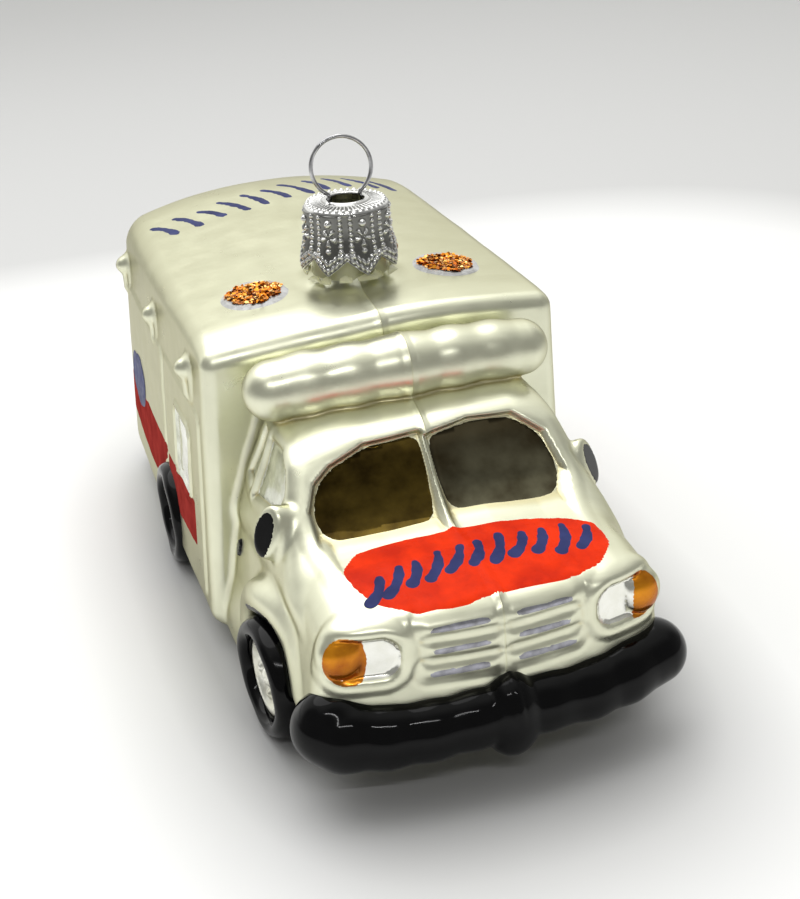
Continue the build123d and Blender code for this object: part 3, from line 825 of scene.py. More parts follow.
RING_SILVER = lacquer_finish("beacon_silver", (0.58, 0.58, 0.58), (0.42, 0.42, 0.41), 0.36, 0.85, 0.0, 0.6)
RED = lacquer_finish("red_lacquer", (0.95, 0.040, 0.002), (0.66, 0.020, 0.002), 0.3, coat=0.0, shine=0.05)
SIDE_RED = lacquer_finish("side_red", (0.40, 0.048, 0.040), (0.27, 0.030, 0.026), 0.4, coat=0.0, shine=0.0)
BLUE = lacquer_finish("blue_lacquer", (0.040, 0.052, 0.180), (0.024, 0.030, 0.11), 0.42, coat=0.0,
                      shine=0.06)
AMBER = lacquer_finish("amber_lacquer", (0.95, 0.36, 0.010), (0.40, 0.095, 0.001), 0.2, 0.7, 0.3, rim=0.9)
BLACK = black_finish()
MIRROR_BLACK = lacquer_finish("mirror_black", (0.002, 0.002, 0.0023), (0.004, 0.004, 0.0045), 0.12, coat=0.0,
                              shine=0.12)
GLITTER = glitter_finish()
CAP_METAL = cap_finish()
RING_WIRE = wire_finish()
RIM_GLASS = glass_finish()


def dress(piece, material, slot, *nodes):
    """Gives a piece its material and hides the CAD nodes that it stands for; slot is not used."""
    piece.data.materials.append(material)
    if nodes:
        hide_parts(*nodes)
    return piece


# ---- skin pieces ------------------------------------------------------------------------------
def both(*names):
    """The left and right CAD nodes of each name."""
    return [name + side for name in names for side in ("_left", "_right")]


def add_attribute(piece, name, values):
    """Gives each point of a piece a value that its material reads."""
    layer = piece.data.attributes.new(name, "FLOAT", "POINT")
    layer.data.foreach_set("value", np.asarray(values, np.float32))


def main_part(points, faces):
    """The largest connected part of a mesh; bits of the walls that close its box are dropped."""
    links = np.array([(face[0], i) for face in faces for i in face[1:]])
    label = np.arange(len(points))
    while True:
        lowest = label[links].min(axis=1)
        merged = label.copy()
        np.minimum.at(merged, links[:, 0], lowest)
        np.minimum.at(merged, links[:, 1], lowest)
        merged = merged[merged]
        if np.array_equal(merged, label):
            break
        label = merged
    kept = label == np.bincount(label).argmax()
    place = np.cumsum(kept) - 1
    return points[kept], [tuple(int(place[i]) for i in face) for face in faces if kept[face[0]]]


def cut_at(points, quads, y_split, behind):
    """Mesh cut by a plane across the vehicle, keeping one side."""
    mesh = bpy.data.meshes.new("cut")
    mesh.from_pydata(points.tolist(), [], quads.tolist())
    bm = bmesh.new()
    bm.from_mesh(mesh)
    bmesh.ops.bisect_plane(bm, geom=bm.verts[:] + bm.edges[:] + bm.faces[:],
                           plane_co=(0, y_split, 0), plane_no=(0, -1 if behind else 1, 0),
                           clear_outer=True)
    bm.verts.index_update()
    points = np.array([v.co[:] for v in bm.verts])
    faces = [tuple(v.index for v in face.verts) for face in bm.faces]
    bm.free()
    bpy.data.meshes.remove(mesh)
    return main_part(points, faces)


# ---- panes and paint --------------------------------------------------------------------------
def circle(centre, radii, count=40):
    """Outline of an ellipse."""
    angle = np.arange(count) * 2 * math.pi / count
    return np.stack([centre[0] + radii[0] * np.cos(angle), centre[1] + radii[1] * np.sin(angle)], 1)


def rounded_outline(centre, half, radius):
    """Outline of a rectangle with round corners."""
    points = []
    for sx, sy, start in ((1, 1, 0), (-1, 1, 90), (-1, -1, 180), (1, -1, 270)):
        for a in np.radians(np.linspace(start, start + 90, 7)):
            points.append((centre[0] + sx * (half[0] - radius) + radius * math.cos(a),
                           centre[1] + sy * (half[1] - radius) + radius * math.sin(a)))
    return np.array(points)


def coat(name, outlines, view, material, slot, stands_for_node=True, field=skin, **settings):
    """A film with its material, in place of the CAD node of the same name if there is one."""
    piece = film(name, outlines, view, field, **settings)
    return dress(piece, material, slot, *([name] if stands_for_node else []))


def flank_coat(name, side, outlines, material, slot, **settings):
    """A coat on one flank of the vehicle."""
    return coat("%s_%s" % (name, side), outlines, "side", material, slot, side=SIGNS[side], **settings)


def amber_spot(sign):
    """Outline of the amber lacquer on the outer end of a headlamp."""
    outline = circle((sign * AMBER_X, LAMP_Z), (2.55 if sign < 0 else 2.2, 2.75), 60)
    inner = AMBER_X - (1.9 if sign < 0 else 0.9) + 0.12 * np.sin(1.7 * outline[:, 1])
    outline[:, 0] = sign * np.maximum(np.abs(outline[:, 0]), inner)
    return outline


MIRROR_FACE_HALF, MIRROR_FACE_BACK = (1.4, 2.6), {"left": 1.1, "right": -0.15}
HANDLE_PLACE, HANDLE_HALF = (-12.9, 14.5), (0.7, 1.1)
ARCH_OUT, ARCH_IN, ARCH_TURN = 8.6, 6.6, (-0.45, 0.65)  # radii and ends of the black inside the front arch

for side, sign in SIGNS.items():
    screen = softened(np.asarray(WINDSCREENS[side]) * (sign, 1), 5, 0.45)
    coat("windshield_" + side, [screen], "front", GREY_PANE if sign > 0 else DARK_REFLECTION_PANE, "silver_pane",
         spacing=0.35)
    flank_coat("door_window", side, [DOOR_PANE, VENT_PANE], SIDE_PANE, "silver_pane", spacing=0.35)
    pane = rounded_outline((BOX_PANE_Y, BOX_PANE_Z), BOX_PANE_HALF, BOX_PANE_ROUND)
    flank_coat("box_window", side, [pane], SIDE_PANE, "silver_pane", spacing=0.28, lift=0.09)
    lens = rounded_outline((sign * LAMP_X, LAMP_Z), LAMP_HALF, LAMP_ROUND)
    coat("headlamp_" + side, [lens], "front", LAMP_SILVER, "lamp_silver", spacing=0.3)
    coat("indicator_" + side, [amber_spot(sign)], "front", AMBER, "amber", spacing=0.25, lift=0.12)
    face = circle((MIRROR_Y + MIRROR_FACE_BACK[side], MIRROR_Z), MIRROR_FACE_HALF)
    flank_coat("mirror_face", side, [face], MIRROR_BLACK, "gloss_black", spacing=0.25)
    flank_coat("door_handle", side, [circle(HANDLE_PLACE, HANDLE_HALF)], BLACK, "gloss_black",
               spacing=0.2, lift=0.35)
    arch = [(AXLE_Y["front"] + r * math.sin(a), WHEEL_R + r * math.cos(a))
            for r, turns in ((ARCH_OUT, ARCH_TURN), (ARCH_IN, ARCH_TURN[::-1]))
            for a in np.linspace(*turns, 12)]
    flank_coat("arch_paint", side, [blurred_outline(arch, 0.08, sign)], BLACK, "gloss_black",
               stands_for_node=False, spacing=0.35)

rear = [rounded_outline((sx * REAR_PANE_X, REAR_PANE_Z), REAR_PANE_HALF, REAR_PANE_ROUND) for sx in (1, -1)]
coat("rear_windows", rear, "back", SIDE_PANE, "silver_pane", spacing=0.3, lift=0.09)
bars = []
for height, end in GRILLE:
    for sx in (1, -1):
        middle = sx * (end + 1.0) / 2
        place = (middle, height + 0.012 * abs(middle) ** 1.5)
        bars.append(blurred_outline(rounded_outline(place, ((end - 1.1) / 2, 0.42), 0.4), 0.06, height + sx))
coat("grille_bars", bars, "front", GRILLE_SILVER, "grille_silver", spacing=0.3)

HOOD_PATCH = ((-13.7, -37.2), (-11.6, -34.5), (-7.1, -34.1), (0.0, -34.4), (6.2, -34.7), (11.5, -35.8),
              (14.5, -37.8), (14.4, -41.2), (12.4, -44.0), (9.2, -45.2), (3.0, -45.4), (-4.4, -45.9),
              (-8.9, -45.6), (-11.8, -43.6), (-13.2, -40.4))
coat("hood_patch", [blurred_outline(HOOD_PATCH, 0.08, 1.0)], "top", RED, "pearl_glass",
     stands_for_node=False, start=COWL_Z + 4)


def dabs(line, count, height, lean, width):
    """A row of short slanted brush dabs along a curve of points."""
    line = smooth_line(line, 0.5)
    outlines = []
    for k, middle in enumerate(at_run(line, run_length(line)[-1] * (np.arange(count) + 0.5) / count)):
        tall = height * (0.9 + 0.12 * math.sin(2.3 * k))
        tilt = lean + 0.10 * math.sin(1.9 * k + 0.5)
        up, across = np.array([math.sin(tilt), math.cos(tilt)]), np.array([math.cos(tilt), -math.sin(tilt)])
        bow = width * (0.30 + 0.1 * math.sin(3.1 * k))
        points = [middle + up * tall * t + across * bow * (1 - 4 * t * t) for t in np.linspace(-0.5, 0.5, 7)]
        outlines.append(stroke(points, width, 0.3, k))
    return outlines


def painted_skin(x, y, z):
    """The skin with a first coat of paint on it."""
    return skin(x, y, z) - 0.05


HOOD_LINE = ((-12.6, -41.6), (-7.5, -40.0), (0.0, -39.0), (7.5, -38.9), (13.3, -39.9))
ROOF_LINE = ((-19.2, 33.2), (-10.0, 34.6), (-1.0, 36.8), (10.0, 40.4), (17.2, 37.6))
coat("hood_strokes", dabs(HOOD_LINE, 11, 4.3, 0.5, 1.35), "top", BLUE, "pearl_glass",
     stands_for_node=False, field=painted_skin, start=COWL_Z + 4, spacing=0.3, lift=0.12)
coat("roof_strokes", dabs(ROOF_LINE, 11, 6.2, -0.5, 1.3), "top", BLUE, "pearl_glass",
     stands_for_node=False, spacing=0.35, lift=0.08)

# the red stripe in front of the rear wheel and behind it
STRIPES = (((-4.0, 10.8), (-4.2, 17.2), (0.5, 17.0), (6.5, 16.4), (13.6, 15.9), (13.7, 13.8),
            (11.0, 13.2), (8.8, 11.8), (7.3, 9.8)),
           ((19.9, 8.9), (18.3, 11.8), (16.2, 13.4), (15.2, 13.7), (15.2, 16.7), (24.0, 16.6),
            (35.0, 16.2), (45.4, 16.4), (45.8, 10.0), (36.0, 8.6), (25.0, 8.3)))
SPOT_PLACE, SPOT_HALF = (37.5, 17.2), (5.8, 3.9)

for side, sign in SIGNS.items():
    flank_coat("side_stripe", side, [blurred_outline(s, 0.1, 2.0 + sign) for s in STRIPES], SIDE_RED,
               "pearl_glass", stands_for_node=False, spacing=0.5)
    flank_coat("side_spot", side, [blurred_outline(circle(SPOT_PLACE, SPOT_HALF), 0.2, 1.3)], BLUE,
               "pearl_glass", stands_for_node=False, field=painted_skin, spacing=0.5, lift=0.08)


# ---- the skin itself ---------------------------------------------------------------------------
def fold_shade(points, reach=0.45):
    """How sharply the skin is folded in at points, from 0 to 1; the pearl reads it as painted shade."""
    bend = -6 * skin(*points.T)
    for axis in range(3):
        shift = np.zeros(3)
        shift[axis] = reach
        bend = bend + skin(*(points + shift).T) + skin(*(points - shift).T)
    return step((-bend / reach ** 2 - 0.5) / 1.8)


def skin_piece(name, low, high, voxel, behind):
    """The skin ahead of the split or behind it; the rear piece runs a little way under the front one."""
    points, quads, _ = field_mesh(skin, low, high, voxel)
    points, faces = cut_at(points, quads, CAB_SPLIT_Y - (OVERLAP if behind else 0.0), behind)
    normals = gradient(skin, points)[0]
    fold_shade_amount = fold_shade(points)
    points = let_in(points, normals)
    if behind:
        points = points - normals * (0.06 * step((CAB_SPLIT_Y - points[:, 1]) / 0.5))[:, None]
    piece = new_piece(name, points, faces, normals)
    # how far each point is folded in, read by the pearl as painted shade
    add_attribute(piece, "fold_shade", fold_shade_amount)
    return piece


OVERLAP = 1.0                           # how far the rear piece runs under the front one
FINE, COARSE = ((0.3, 0.45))
cab = skin_piece("glass_cab", (-24.0, NOSE_Y - 1.5, 1.0), (24.0, CAB_SPLIT_Y + 0.9, CROWN_Z + 1.5),
                 FINE, behind=False)
dress(cab, PEARL, "pearl_glass", "glass_body", "light_bar", *both("mirror_housing"))
box = skin_piece("glass_box", (-BOX_HALF - 3.5, CAB_SPLIT_Y - 2.0, 1.0),
                 (BOX_HALF + 3.5, REAR_Y + 1.5, CROWN_Z + 3.5), COARSE, behind=True)
dress(box, PEARL, "pearl_glass", *both("side_lamps"))


# ---- bumpers ----------------------------------------------------------------------------------
# middle lines of the bumpers, and their radii along them
FRONT_BAR = [(-18.0, -43.6, 9.2), (-16.6, -44.4, 8.8), (-12.5, -45.4, 8.3), (-8.0, -46.3, 8.4),
             (-3.6, -46.7, 8.7), (0.3, -46.8, 9.0), (4.4, -46.6, 8.7), (9.5, -46.0, 8.5), (14.0, -45.1, 8.8),
             (18.3, -43.9, 9.3)]
FRONT_RADII = (4.0, 4.15, 3.8, 3.55, 3.45, 3.5, 3.4, 3.5, 3.65, 3.65)
REAR_BAR = [(-20.8, 46.1, 4.9), (-11.0, 48.3, 4.9), (0.0, 49.1, 5.0), (11.0, 48.3, 4.9), (20.8, 46.1, 4.9)]
REAR_RADII = (2.2, 2.3, 2.2, 2.3, 2.2)


def front_bumper(x, y, z):
    """Fat rounded bar with a boss in the middle and a knob at its right end."""
    bar = rod(x, y, z, FRONT_BAR, FRONT_RADII)
    boss = blob(x, y, z, (0.3, -47.3, 8.5), (3.3, 3.7, 4.9))
    knob = blob(x, y, z, (-17.6, -44.0, 11.2), (3.4, 2.9, 2.6))
    d = smooth_min(smooth_min(bar, boss, 0.35), knob, 0.45)
    d -= 0.16 * bump((x - 0.3) / 0.7) * step((z - 8.0) / 3.0)
    return d + 0.03 * ripple(x, y, z, 4.5, 3.0) + 0.02 * ripple(x, y, z, 1.5, 1.0)


def rear_bumper(x, y, z):
    """Slimmer bar across the rear."""
    return rod(x, y, z, REAR_BAR, REAR_RADII) + 0.07 * ripple(x, y, z, 2.6, 4.0)


for name, field in (("front_bumper", front_bumper), ("rear_bumper", rear_bumper)):
    low, high = node_box(name)
    points, quads, normals = field_mesh(field, low - 1.5, high + 1.5, FINE + 0.05)
    dress(new_piece(name, points, quads.tolist(), normals), BLACK, "gloss_black", name)


# ---- wheels -----------------------------------------------------------------------------------
# profiles as radius and distance out along the axle
TYRE = ((6.3, -0.6), (6.8, 0.2), (6.97, 1.2), (7.0, 2.4), (6.92, 3.3), (6.65, 4.05), (6.3, 4.45),
        (5.8, 4.62), (5.35, 4.55), (5.0, 4.3), (4.8, 3.9), (4.7, 3.4), (4.65, 2.8), (4.6, 2.2))
HUB = ((4.8, 2.6), (4.6, 3.25), (4.3, 3.55), (3.9, 3.5), (3.4, 3.1), (2.8, 2.75), (2.2, 2.6), (1.75, 2.7),
       (1.35, 3.0), (1.1, 3.35), (0.75, 3.6), (0.35, 3.7), (0.02, 3.72))
TRACK_OUT = {"left": 0.0, "right": 0.4} # how far the front wheel stands out of the CAD's place
REAR_IN = 0.3                           # how far the rear wheels stand in from it
FACE = 4.6                              # distance in the profiles at which the CAD's outer face lies
TOE = math.radians(6.5)                 # the front wheels are moulded turned in a little


def wheel_piece(name, profile, end, side, relief, material, slot):
    """A turned wheel piece laid on its axle, its outer face close to the CAD's."""
    sign = SIGNS[side]
    face_x = TYRES[end][1][0] + (TRACK_OUT[side] if end == "front" else -REAR_IN)
    points, faces = lathe(smooth_line(profile, 0.16), 120)
    radius, angle = np.hypot(points[:, 0], points[:, 1]), np.arctan2(points[:, 1], points[:, 0])
    points[:, 2] += relief(radius, angle)
    toe = -sign * TOE if end == "front" else 0.0
    out, back = sign * (points[:, 2] - FACE), points[:, 0]
    points = np.stack([sign * face_x + out * math.cos(toe) - back * math.sin(toe),
                       AXLE_Y[end] + out * math.sin(toe) + back * math.cos(toe), WHEEL_R + points[:, 1]], 1)
    points[:, 2] = np.maximum(points[:, 2], 0.0)
    if sign < 0:
        faces = [face[::-1] for face in faces]
    return dress(new_piece(name, points, faces), material, slot, name)


def tyre_relief(radius, angle):
    """The slight waviness of a moulded tyre."""
    return 0.06 * np.sin(3 * angle + 1) + 0.03 * np.sin(7 * angle)


def hub_relief(radius, angle):
    """Five moulded knobs in a ring."""
    knobs = bump((radius - 2.6) / 0.9) * np.clip(np.cos(5 * angle + 0.6), 0, 1)
    return 0.75 * knobs + 0.05 * np.sin(2 * angle + radius)


for end in TYRES:
    for side in SIGNS:
        wheel_piece("tyre_%s_%s" % (end, side), TYRE, end, side, tyre_relief, BLACK, "gloss_black")
        wheel_piece("hub_%s_%s" % (end, side), HUB, end, side, hub_relief, HUB_SILVER, "hub_silver")


# ---- beacons ----------------------------------------------------------------------------------
BEACON = (12.2, 1.2)                    # its middle, out to the side and along the roof
BEACON_R, GLITTER_R = 4.15, 3.3


def flakes(centre, count, rng):
    """Loose six-sided foil flakes heaped in a round patch on the roof."""
    angle, far = rng.uniform(0, 2 * math.pi, count), np.sqrt(rng.uniform(0, 1, count))
    reach = GLITTER_R * (1 + 0.05 * np.sin(3 * angle + centre[0]) + 0.05 * np.sin(7 * angle))
    u, v = centre[0] + far * reach * np.cos(angle), centre[1] + far * reach * np.sin(angle)
    seat = cast(skin, u, v, "top")
    up = gradient(skin, seat)[0]
    heap = 0.36 + 0.08 * (1 - far ** 2) + rng.uniform(-0.08, 0.08, count)
    seat = seat + up * heap[:, None]
    vertices, faces = [], []
    for place, normal in zip(seat, up):
        tilt = rng.normal(0, 0.32, 3)
        normal = normal + tilt
        normal /= np.linalg.norm(normal)
        side = np.cross(normal, rng.normal(0, 1, 3))
        side /= np.linalg.norm(side)
        other = np.cross(normal, side)
        size, long = rng.uniform(0.15, 0.31), rng.uniform(0.8, 1.25)
        first = len(vertices)
        for k in range(6):
            a = math.pi * k / 3
            vertices.append(place + size * (long * side * math.cos(a) + other * math.sin(a)))
        faces.append(tuple(range(first, first + 6)))
    return np.array(vertices), faces


for side, sign in SIGNS.items():
    centre = (sign * BEACON[0], BEACON[1])
    disc = blurred_outline(circle(centre, (BEACON_R, BEACON_R + 0.3)), 0.06, sign)
    coat("beacon_ring_" + side, [disc], "top", RING_SILVER, "beacon_silver", lift=0.3)
    points, faces = flakes(centre, 900, RANDOM)
    piece = new_piece("beacon_glitter_" + side, points, faces)
    piece.data.shade_flat()
    dress(piece, GLITTER, "amber_glitter", "beacon_glitter_" + side)
    glue = blurred_outline(circle(centre, (GLITTER_R - 0.15, GLITTER_R - 0.15)), 0.1, 2 + sign)
    coat("beacon_glue_" + side, [glue], "top", AMBER, "amber_glitter", stands_for_node=False, lift=0.36)


# ---- glass neck -------------------------------------------------------------------------------
NECK_R, NECK_BORE = 4.62, 3.6
low, high = NECK_LOW[2], NECK_HIGH[2]
profile = smooth_line([(NECK_BORE, low + 0.4), (NECK_BORE, high - 0.5), (NECK_BORE + 0.25, high - 0.12),
                       (NECK_R - 0.35, high - 0.08), (NECK_R - 0.06, high - 0.5),
                       (NECK_R - 0.04, high - 4.0), (NECK_R, low + 2.2), (NECK_R + 0.2, low + 0.8)], 0.25)
points, faces = lathe(profile, 96)
angle = np.arctan2(points[:, 1], points[:, 0])
ragged = 0.35 * np.abs(np.sin(2.5 * angle + 1) * np.sin(7 * angle)) + 0.1 * np.abs(np.sin(19 * angle))
points[:, 2] -= ragged * step((points[:, 2] - high + 1.5) / 1.5)
dress(new_piece("neck", points + (0, NECK_Y, 0), [f[::-1] for f in faces]), RIM_GLASS, "bare_glass", "neck")


# corners of a splinter, as shares of its width and height, and how far each leans out
CHIP = ((-1, -0.6, 0.3), (1, -0.7, 0.2), (0.7, 0.5, -0.1), (-0.1, 1.0, -0.2), (-0.8, 0.4, 0.0))
UP = np.array([0, 0, 1.0])


def chips(count, rng):
    """Splinters of lacquered glass left round the foot of the neck."""
    vertices, faces = [], []
    for k in range(count):
        a = 2 * math.pi * (k + rng.uniform(-0.3, 0.3)) / count
        far = rng.uniform(4.9, 6.0)
        centre = np.array([far * math.cos(a), NECK_Y + far * math.sin(a), CROWN_Z + rng.uniform(1.3, 2.0)])
        out, around = np.array([math.cos(a), math.sin(a), 0]), np.array([-math.sin(a), math.cos(a), 0])
        first, wide, tall = len(vertices), rng.uniform(0.5, 1.3), rng.uniform(0.4, 1.0)
        for s, t, depth in CHIP:
            vertices.append(centre + around * s * wide * rng.uniform(0.7, 1.2) + UP * t * tall * 0.7
                            + out * (depth + rng.uniform(-0.15, 0.25)))
        for s in range(5):
            vertices.append(vertices[first + s] - out * 0.18)
        faces.append((first, first + 1, first + 2, first + 3, first + 4))
        faces.append((first + 9, first + 8, first + 7, first + 6, first + 5))
        for s in range(5):
            n = (s + 1) % 5
            faces.append((first + s, first + 5 + s, first + 5 + n, first + n))
    return np.array(vertices), faces


points, faces = chips(16, RANDOM)
piece = dress(new_piece("neck_chips", points, faces), RIM_GLASS, "bare_glass")
piece.data.shade_flat()


# ---- crown cap --------------------------------------------------------------------------------
LEAVES = 8
COLLAR_H = 0.7
TOP_Z = CAP_HIGH[2] - COLLAR_H + 0.35
CAP_H = TOP_Z - CAP_LOW[2] + 0.25
LEAF_POINT = 1.75
HOLE_R, SHOULDER_R, SKIRT_R = 2.26, 5.1, 5.9
SKIRT_TOP = 0.45                        # how far the skirt starts below the top
TOP_PROFILE = ((HOLE_R, -0.5), (HOLE_R, 0.2), (HOLE_R + 0.07, 0.36), (HOLE_R + 0.2, 0.42),
               (HOLE_R + 0.36, 0.38), (HOLE_R + 0.55, 0.24), (HOLE_R + 0.8, 0.10), (3.5, 0.03),
               (4.3, 0.02), (4.75, -0.02), (4.98, -0.16), (SHOULDER_R, -SKIRT_TOP))
WALL = 0.25
LEAF_R = 5.4                            # middle radius at which the leaves' widths are measured


def dome(distance, radius):
    """Height of a round bead at a distance from its middle."""
    return radius * np.sqrt(np.clip(1 - (distance / radius) ** 2, 0, 1))


def row_of(value, pitch):
    """Distance from the nearest of a row of places a pitch apart."""
    return (value / pitch - np.round(value / pitch)) * pitch


def skirt_relief(u, w, half, edge):
    """Stamped pattern of one leaf: u across it, w down from the shoulder, edge its lower end."""
    height = -0.42 * step((np.abs(u) - half + 0.32) / 0.22) * step((edge - w + 0.2) / 0.4)
    rim = np.hypot(np.abs(u) - half + 0.64, row_of(w - 0.1, 0.64))
    height = np.maximum(height, 0.85 * dome(rim, 0.29) * (w > 0.5) * (w < edge - 0.3))
    height = np.maximum(height, 0.95 * dome(np.hypot(u, w - 1.35), 0.46))
    far, way = np.hypot(u, w - 3.0), np.arctan2(u, w - 3.0)
    petals = np.clip(np.cos(5 * way), 0, 1) ** 0.6
    height += 0.32 * petals * step((1.15 - far) / 0.3) * step((far - 0.22) / 0.15)
    height = np.maximum(height, 0.8 * dome(np.hypot(u, w - 4.6), 0.30))
    slope = math.hypot(1, LEAF_POINT / half)
    inward = (edge - w) / slope
    run = np.abs(u) * slope
    for depth, size in ((0.44, 0.29), (1.08, 0.28)):
        bead = np.hypot(inward - depth, row_of(run - 0.32 * (depth > 0.5), 0.64))
        height = np.maximum(height, 0.85 * dome(bead, size) * (w > CAP_H - LEAF_POINT - 0.9))
    height += 0.09 * step((0.16 - inward) / 0.1)
    return height


def crown_cap(columns, rows):
    """Stamped cap: hole and collar, ribbed and beaded top, and a skirt of eight pointed leaves."""
    angle = np.arange(columns) * 2 * math.pi / columns
    pitch = 2 * math.pi / LEAVES
    local = row_of(angle, pitch)
    half = pitch / 2 * LEAF_R
    edge = CAP_H - LEAF_POINT * np.abs(local) / (pitch / 2)
    flat = np.zeros(columns)
    layers, hollows = [], []

    # hollow is the painted shade each ring gets: deepest inside the cap, and in the low places between ribs
    # and beads
    def layer(radius, z, hollow):
        layers.append(np.stack([radius + flat, z + flat], 1))
        hollows.append(hollow + flat)

    for radius, z in smooth_line(TOP_PROFILE, 0.07):
        inner, outer = step((radius - 2.95) / 0.2), step((4.45 - radius) / 0.25)
        ribs = np.cos(48 * angle) * inner * outer
        bead = dome(np.hypot(row_of(angle * radius, 2 * math.pi * radius / 38), radius - 4.66), 0.25)
        if radius < HOLE_R + 0.5 or z < -0.3:
            layer(radius, z, 0.15 if z > 0.2 else 0.6)
        else:
            layer(radius, z + 0.12 * ribs + 0.9 * bead, step(0.62 - 0.6 * ribs - 4 * bead) * 0.85 * outer)
    for t in np.linspace(0, 1, rows)[1:]:
        w = SKIRT_TOP + (edge - SKIRT_TOP) * t
        relief = skirt_relief(local * LEAF_R, w, half, edge)
        radius = SHOULDER_R + 0.05 + (SKIRT_R - SHOULDER_R - 0.05) * step((w - 2.2) / (CAP_H - 2.2))
        layer(radius + relief + 0.15 * np.cos(local / (pitch / 2) * math.pi), -w, step(0.74 - relief / 0.30))
    for t in np.linspace(1, 0, 26):
        w = SKIRT_TOP + (edge - SKIRT_TOP) * t
        layer(SHOULDER_R + (SKIRT_R - SHOULDER_R) * step((w - 2.2) / (CAP_H - 2.2)) - WALL, -w, 0.8)
    layer(HOLE_R + 0.1, -SKIRT_TOP, 0.8)
    layers = np.array(layers)
    points = np.stack([layers[..., 0] * np.cos(angle), layers[..., 0] * np.sin(angle), layers[..., 1]], 2)
    faces = [(a, d, c, b) for a, b, c, d in ring_faces(len(layers), columns, closed=True)]
    return points.reshape(-1, 3), faces, np.array(hollows).ravel()


columns, rows = ((LEAVES * 62, 92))
points, faces, hollow = crown_cap(columns, rows)
spin = np.array(Matrix.Rotation(math.radians(4.0), 3, "Z"))
points = points @ spin.T + (0, NECK_Y, TOP_Z)
cap = dress(new_piece("crown_cap", points, faces, body="cap"), CAP_METAL, "cap_metal", "cap")
# the painted shade that the cap's material reads
add_attribute(cap, "hollow", hollow)


# ---- wire ring --------------------------------------------------------------------------------
WIRE_R, RING_R, FOOT_X, BEND_R = 0.25, 3.68, 1.9, 0.5
loop_z = RING_HIGH[2] - WIRE_R - RING_R
reach = FOOT_X + BEND_R
drop = math.sqrt((RING_R + BEND_R) ** 2 - reach ** 2)
open_angle = math.atan2(drop, reach)
line = [(-FOOT_X, z) for z in np.linspace(RING_LOW[2] + WIRE_R, loop_z - drop, 24)]
line += [(-reach + BEND_R * math.cos(a), loop_z - drop + BEND_R * math.sin(a))
         for a in np.linspace(0, open_angle, 8)[1:]]
line += [(RING_R * math.cos(a), loop_z + RING_R * math.sin(a))
         for a in np.linspace(math.pi + open_angle, -open_angle, 90)[1:]]
line += [(reach - BEND_R * math.cos(a), loop_z - drop + BEND_R * math.sin(a))
         for a in np.linspace(open_angle, 0, 8)[1:]]
line += [(FOOT_X, z) for z in np.linspace(loop_z - drop, RING_LOW[2] + WIRE_R, 24)[1:]]
LEAN = 0.055                            # how far the loop leans to the vehicle's right, a millimetre up
points, faces = tube([(x - LEAN * max(0.0, z - CAP_HIGH[2] + 1.0), NECK_Y, z) for x, z in line], WIRE_R, 20)
dress(new_piece("wire_ring", points, faces, body="ring"), RING_WIRE, "ring_wire", "hanger_ring")


# ---- camera, stage and light -------------------------------------------------------------------
FRAME_WIDTH, FRAME_HEIGHT = 800, 899
FOCAL_PIXELS, CENTRE_PIXEL = 1478.07, (381.65, 453.88)
AZIMUTH, ELEVATION, ROLL = (math.radians(a) for a in (-16.02, 26.04, -3.74))
CAMERA_PLACE = Vector((-45.12, -164.15, 99.98)) * MM
SENSOR = 36.0
scene = bpy.context.scene
camera = bpy.data.objects.new("camera", bpy.data.cameras.new("camera"))
scene.collection.objects.link(camera)
scene.camera = camera
back = Vector((math.sin(AZIMUTH) * math.cos(ELEVATION), -math.cos(AZIMUTH) * math.cos(ELEVATION),
               math.sin(ELEVATION)))
right = Vector((0, 0, 1)).cross(back).normalized()
up = back.cross(right)
right, up = (right * math.cos(ROLL) + up * math.sin(ROLL), up * math.cos(ROLL) - right * math.sin(ROLL))
camera.matrix_world = Matrix.Translation(CAMERA_PLACE) @ Matrix((right, up, back)).transposed().to_4x4()
camera.data.sensor_fit = "HORIZONTAL"
camera.data.sensor_width = SENSOR
camera.data.lens = SENSOR * FOCAL_PIXELS / FRAME_WIDTH
camera.data.shift_x = (FRAME_WIDTH / 2 - CENTRE_PIXEL[0]) / FRAME_WIDTH
camera.data.shift_y = (CENTRE_PIXEL[1] - FRAME_HEIGHT / 2) / FRAME_WIDTH
camera.data.clip_start = 0.001

SHADE_HALF = (0.060, 0.116)             # half size of the soft shade under the ornament, in metres


def floor_piece():
    """Wide floor, white round the ornament and greyer far off, with a shadow painted on it under the
    ornament.
    """
    steps, size = 48, 2.5
    axis = np.linspace(-1, 1, steps)
    axis = np.sign(axis) * np.abs(axis) ** 2 * size
    points = [(x, y, 0.0) for y in axis for x in axis]
    faces = [(j * steps + i, j * steps + i + 1, (j + 1) * steps + i + 1, (j + 1) * steps + i)
             for j in range(steps - 1) for i in range(steps - 1)]
    mesh = bpy.data.meshes.new("floor")
    mesh.from_pydata(points, [], faces)
    floor = bpy.data.objects.new("floor", mesh)
    scene.collection.objects.link(floor)
    f = Finish("floor_paper", Roughness=0.6)
    x, y, _ = f.axes()

    def power(socket, exponent):
        return f.math("POWER", f.math("ABSOLUTE", socket), exponent)

    far = power(f.math("ADD", power(x, 4), power(y, 4)), 0.25)
    paper = f.ramp(far, (0.0, 0.93), (0.132, 0.93), (0.156, 0.66), (0.50, 0.60))
    # painted shadow: the floor is darkened towards the ornament's footprint
    near = f.math("ADD", *(power(f.scaled(socket, 1 / half), 3) for socket, half in zip((x, y), SHADE_HALF)))
    shade = f.ramp(power(near, 1 / 3), (0.42, 0.50), (0.53, 0.82), (0.66, 1.0))
    f.to(f.mix(1.0, paper, shade, "MULTIPLY"), "Base Color")
    mesh.materials.append(f.material)


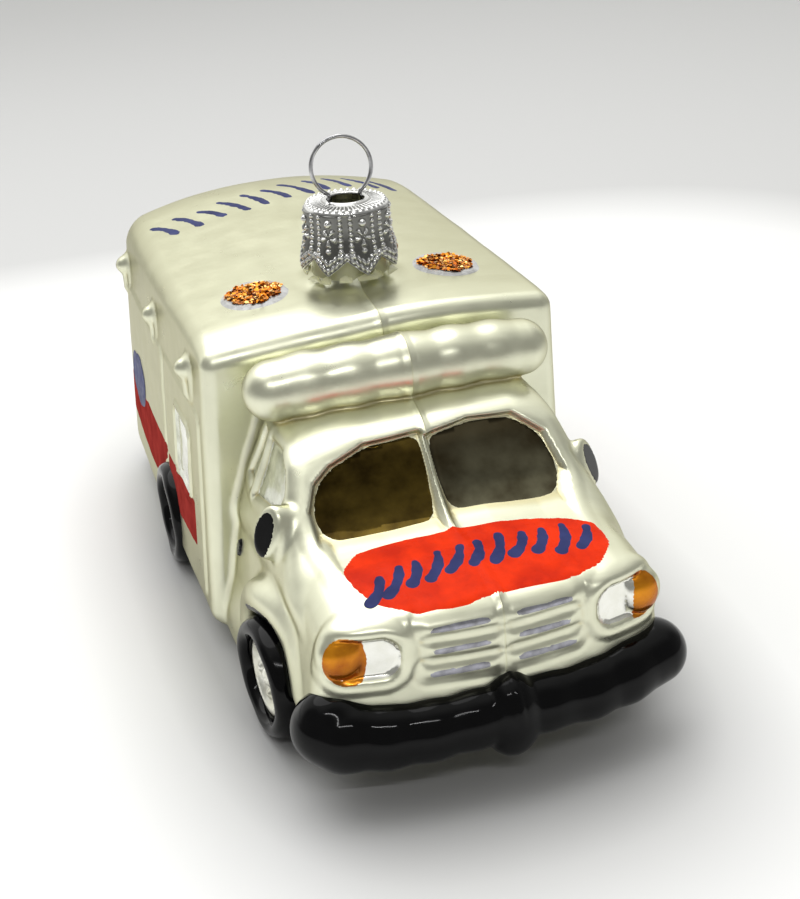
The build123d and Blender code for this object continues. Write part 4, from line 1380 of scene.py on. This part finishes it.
floor_piece()


def area_lamp(name, place, target, size, power):
    """A soft round lamp turned to a target."""
    lamp = bpy.data.lights.new(name, "AREA")
    lamp.shape, lamp.size, lamp.energy = "DISK", size, power
    holder = bpy.data.objects.new(name, lamp)
    scene.collection.objects.link(holder)
    holder.location = place
    holder.rotation_euler = (Vector(target) - Vector(place)).to_track_quat("-Z", "Y").to_euler()
    return lamp


area_lamp("key_lamp", (-0.06, 0.14, 0.42), (0, 0, 0.02), 0.50, 1.0)
strip = area_lamp("strip_lamp", (-0.07, -0.34, 0.36), (0, -0.04, 0.01), 0.30, 0.32)
strip.shape, strip.size_y = "RECTANGLE", 0.008

world = bpy.data.worlds.new("studio")
scene.world = world
world.use_nodes = True
studio = Nodes(world.node_tree)
direction = studio.node("TexCoord").outputs["Generated"]


def facing(axis, start, end):
    """1 where the sky faces an axis, fading to 0."""
    dot = studio.node("VectorMath", operation="DOT_PRODUCT")
    studio.link(direction, dot.inputs[0])
    dot.inputs[1].default_value = Vector(axis).normalized()
    fade = studio.node("MapRange", interpolation_type="SMOOTHSTEP", **{"From Min": start, "From Max": end})
    studio.link(dot.outputs["Value"], fade.inputs["Value"])
    return fade.outputs["Result"]


def sky_mix(factor, a, b):
    """Mix of two sky greys, each a number or a socket."""
    mix = studio.node("Mix", data_type="RGBA")
    for socket, value in ((mix.inputs[0], factor), (mix.inputs[6], a), (mix.inputs[7], b)):
        if isinstance(value, float):
            socket.default_value = (value, value, value * 0.97, 1)
        else:
            studio.link(value, socket)
    return mix.outputs[2]


sky = sky_mix(facing((0, 0.15, 1), 0.45, 0.95), 0.32, 0.88)
sky = sky_mix(facing((0, 1.0, 0.35), 0.18, 0.78), sky, 1.1)
sky = sky_mix(facing((-1.0, -0.15, 0.30), 0.75, 0.95), sky, 0.26)
sky = sky_mix(facing((0.05, -1.0, 0.36), 0.48, 0.86), sky, 0.26)
studio.link(sky, studio.tree.nodes["Background"].inputs["Color"])

scene.view_settings.view_transform = "Standard"
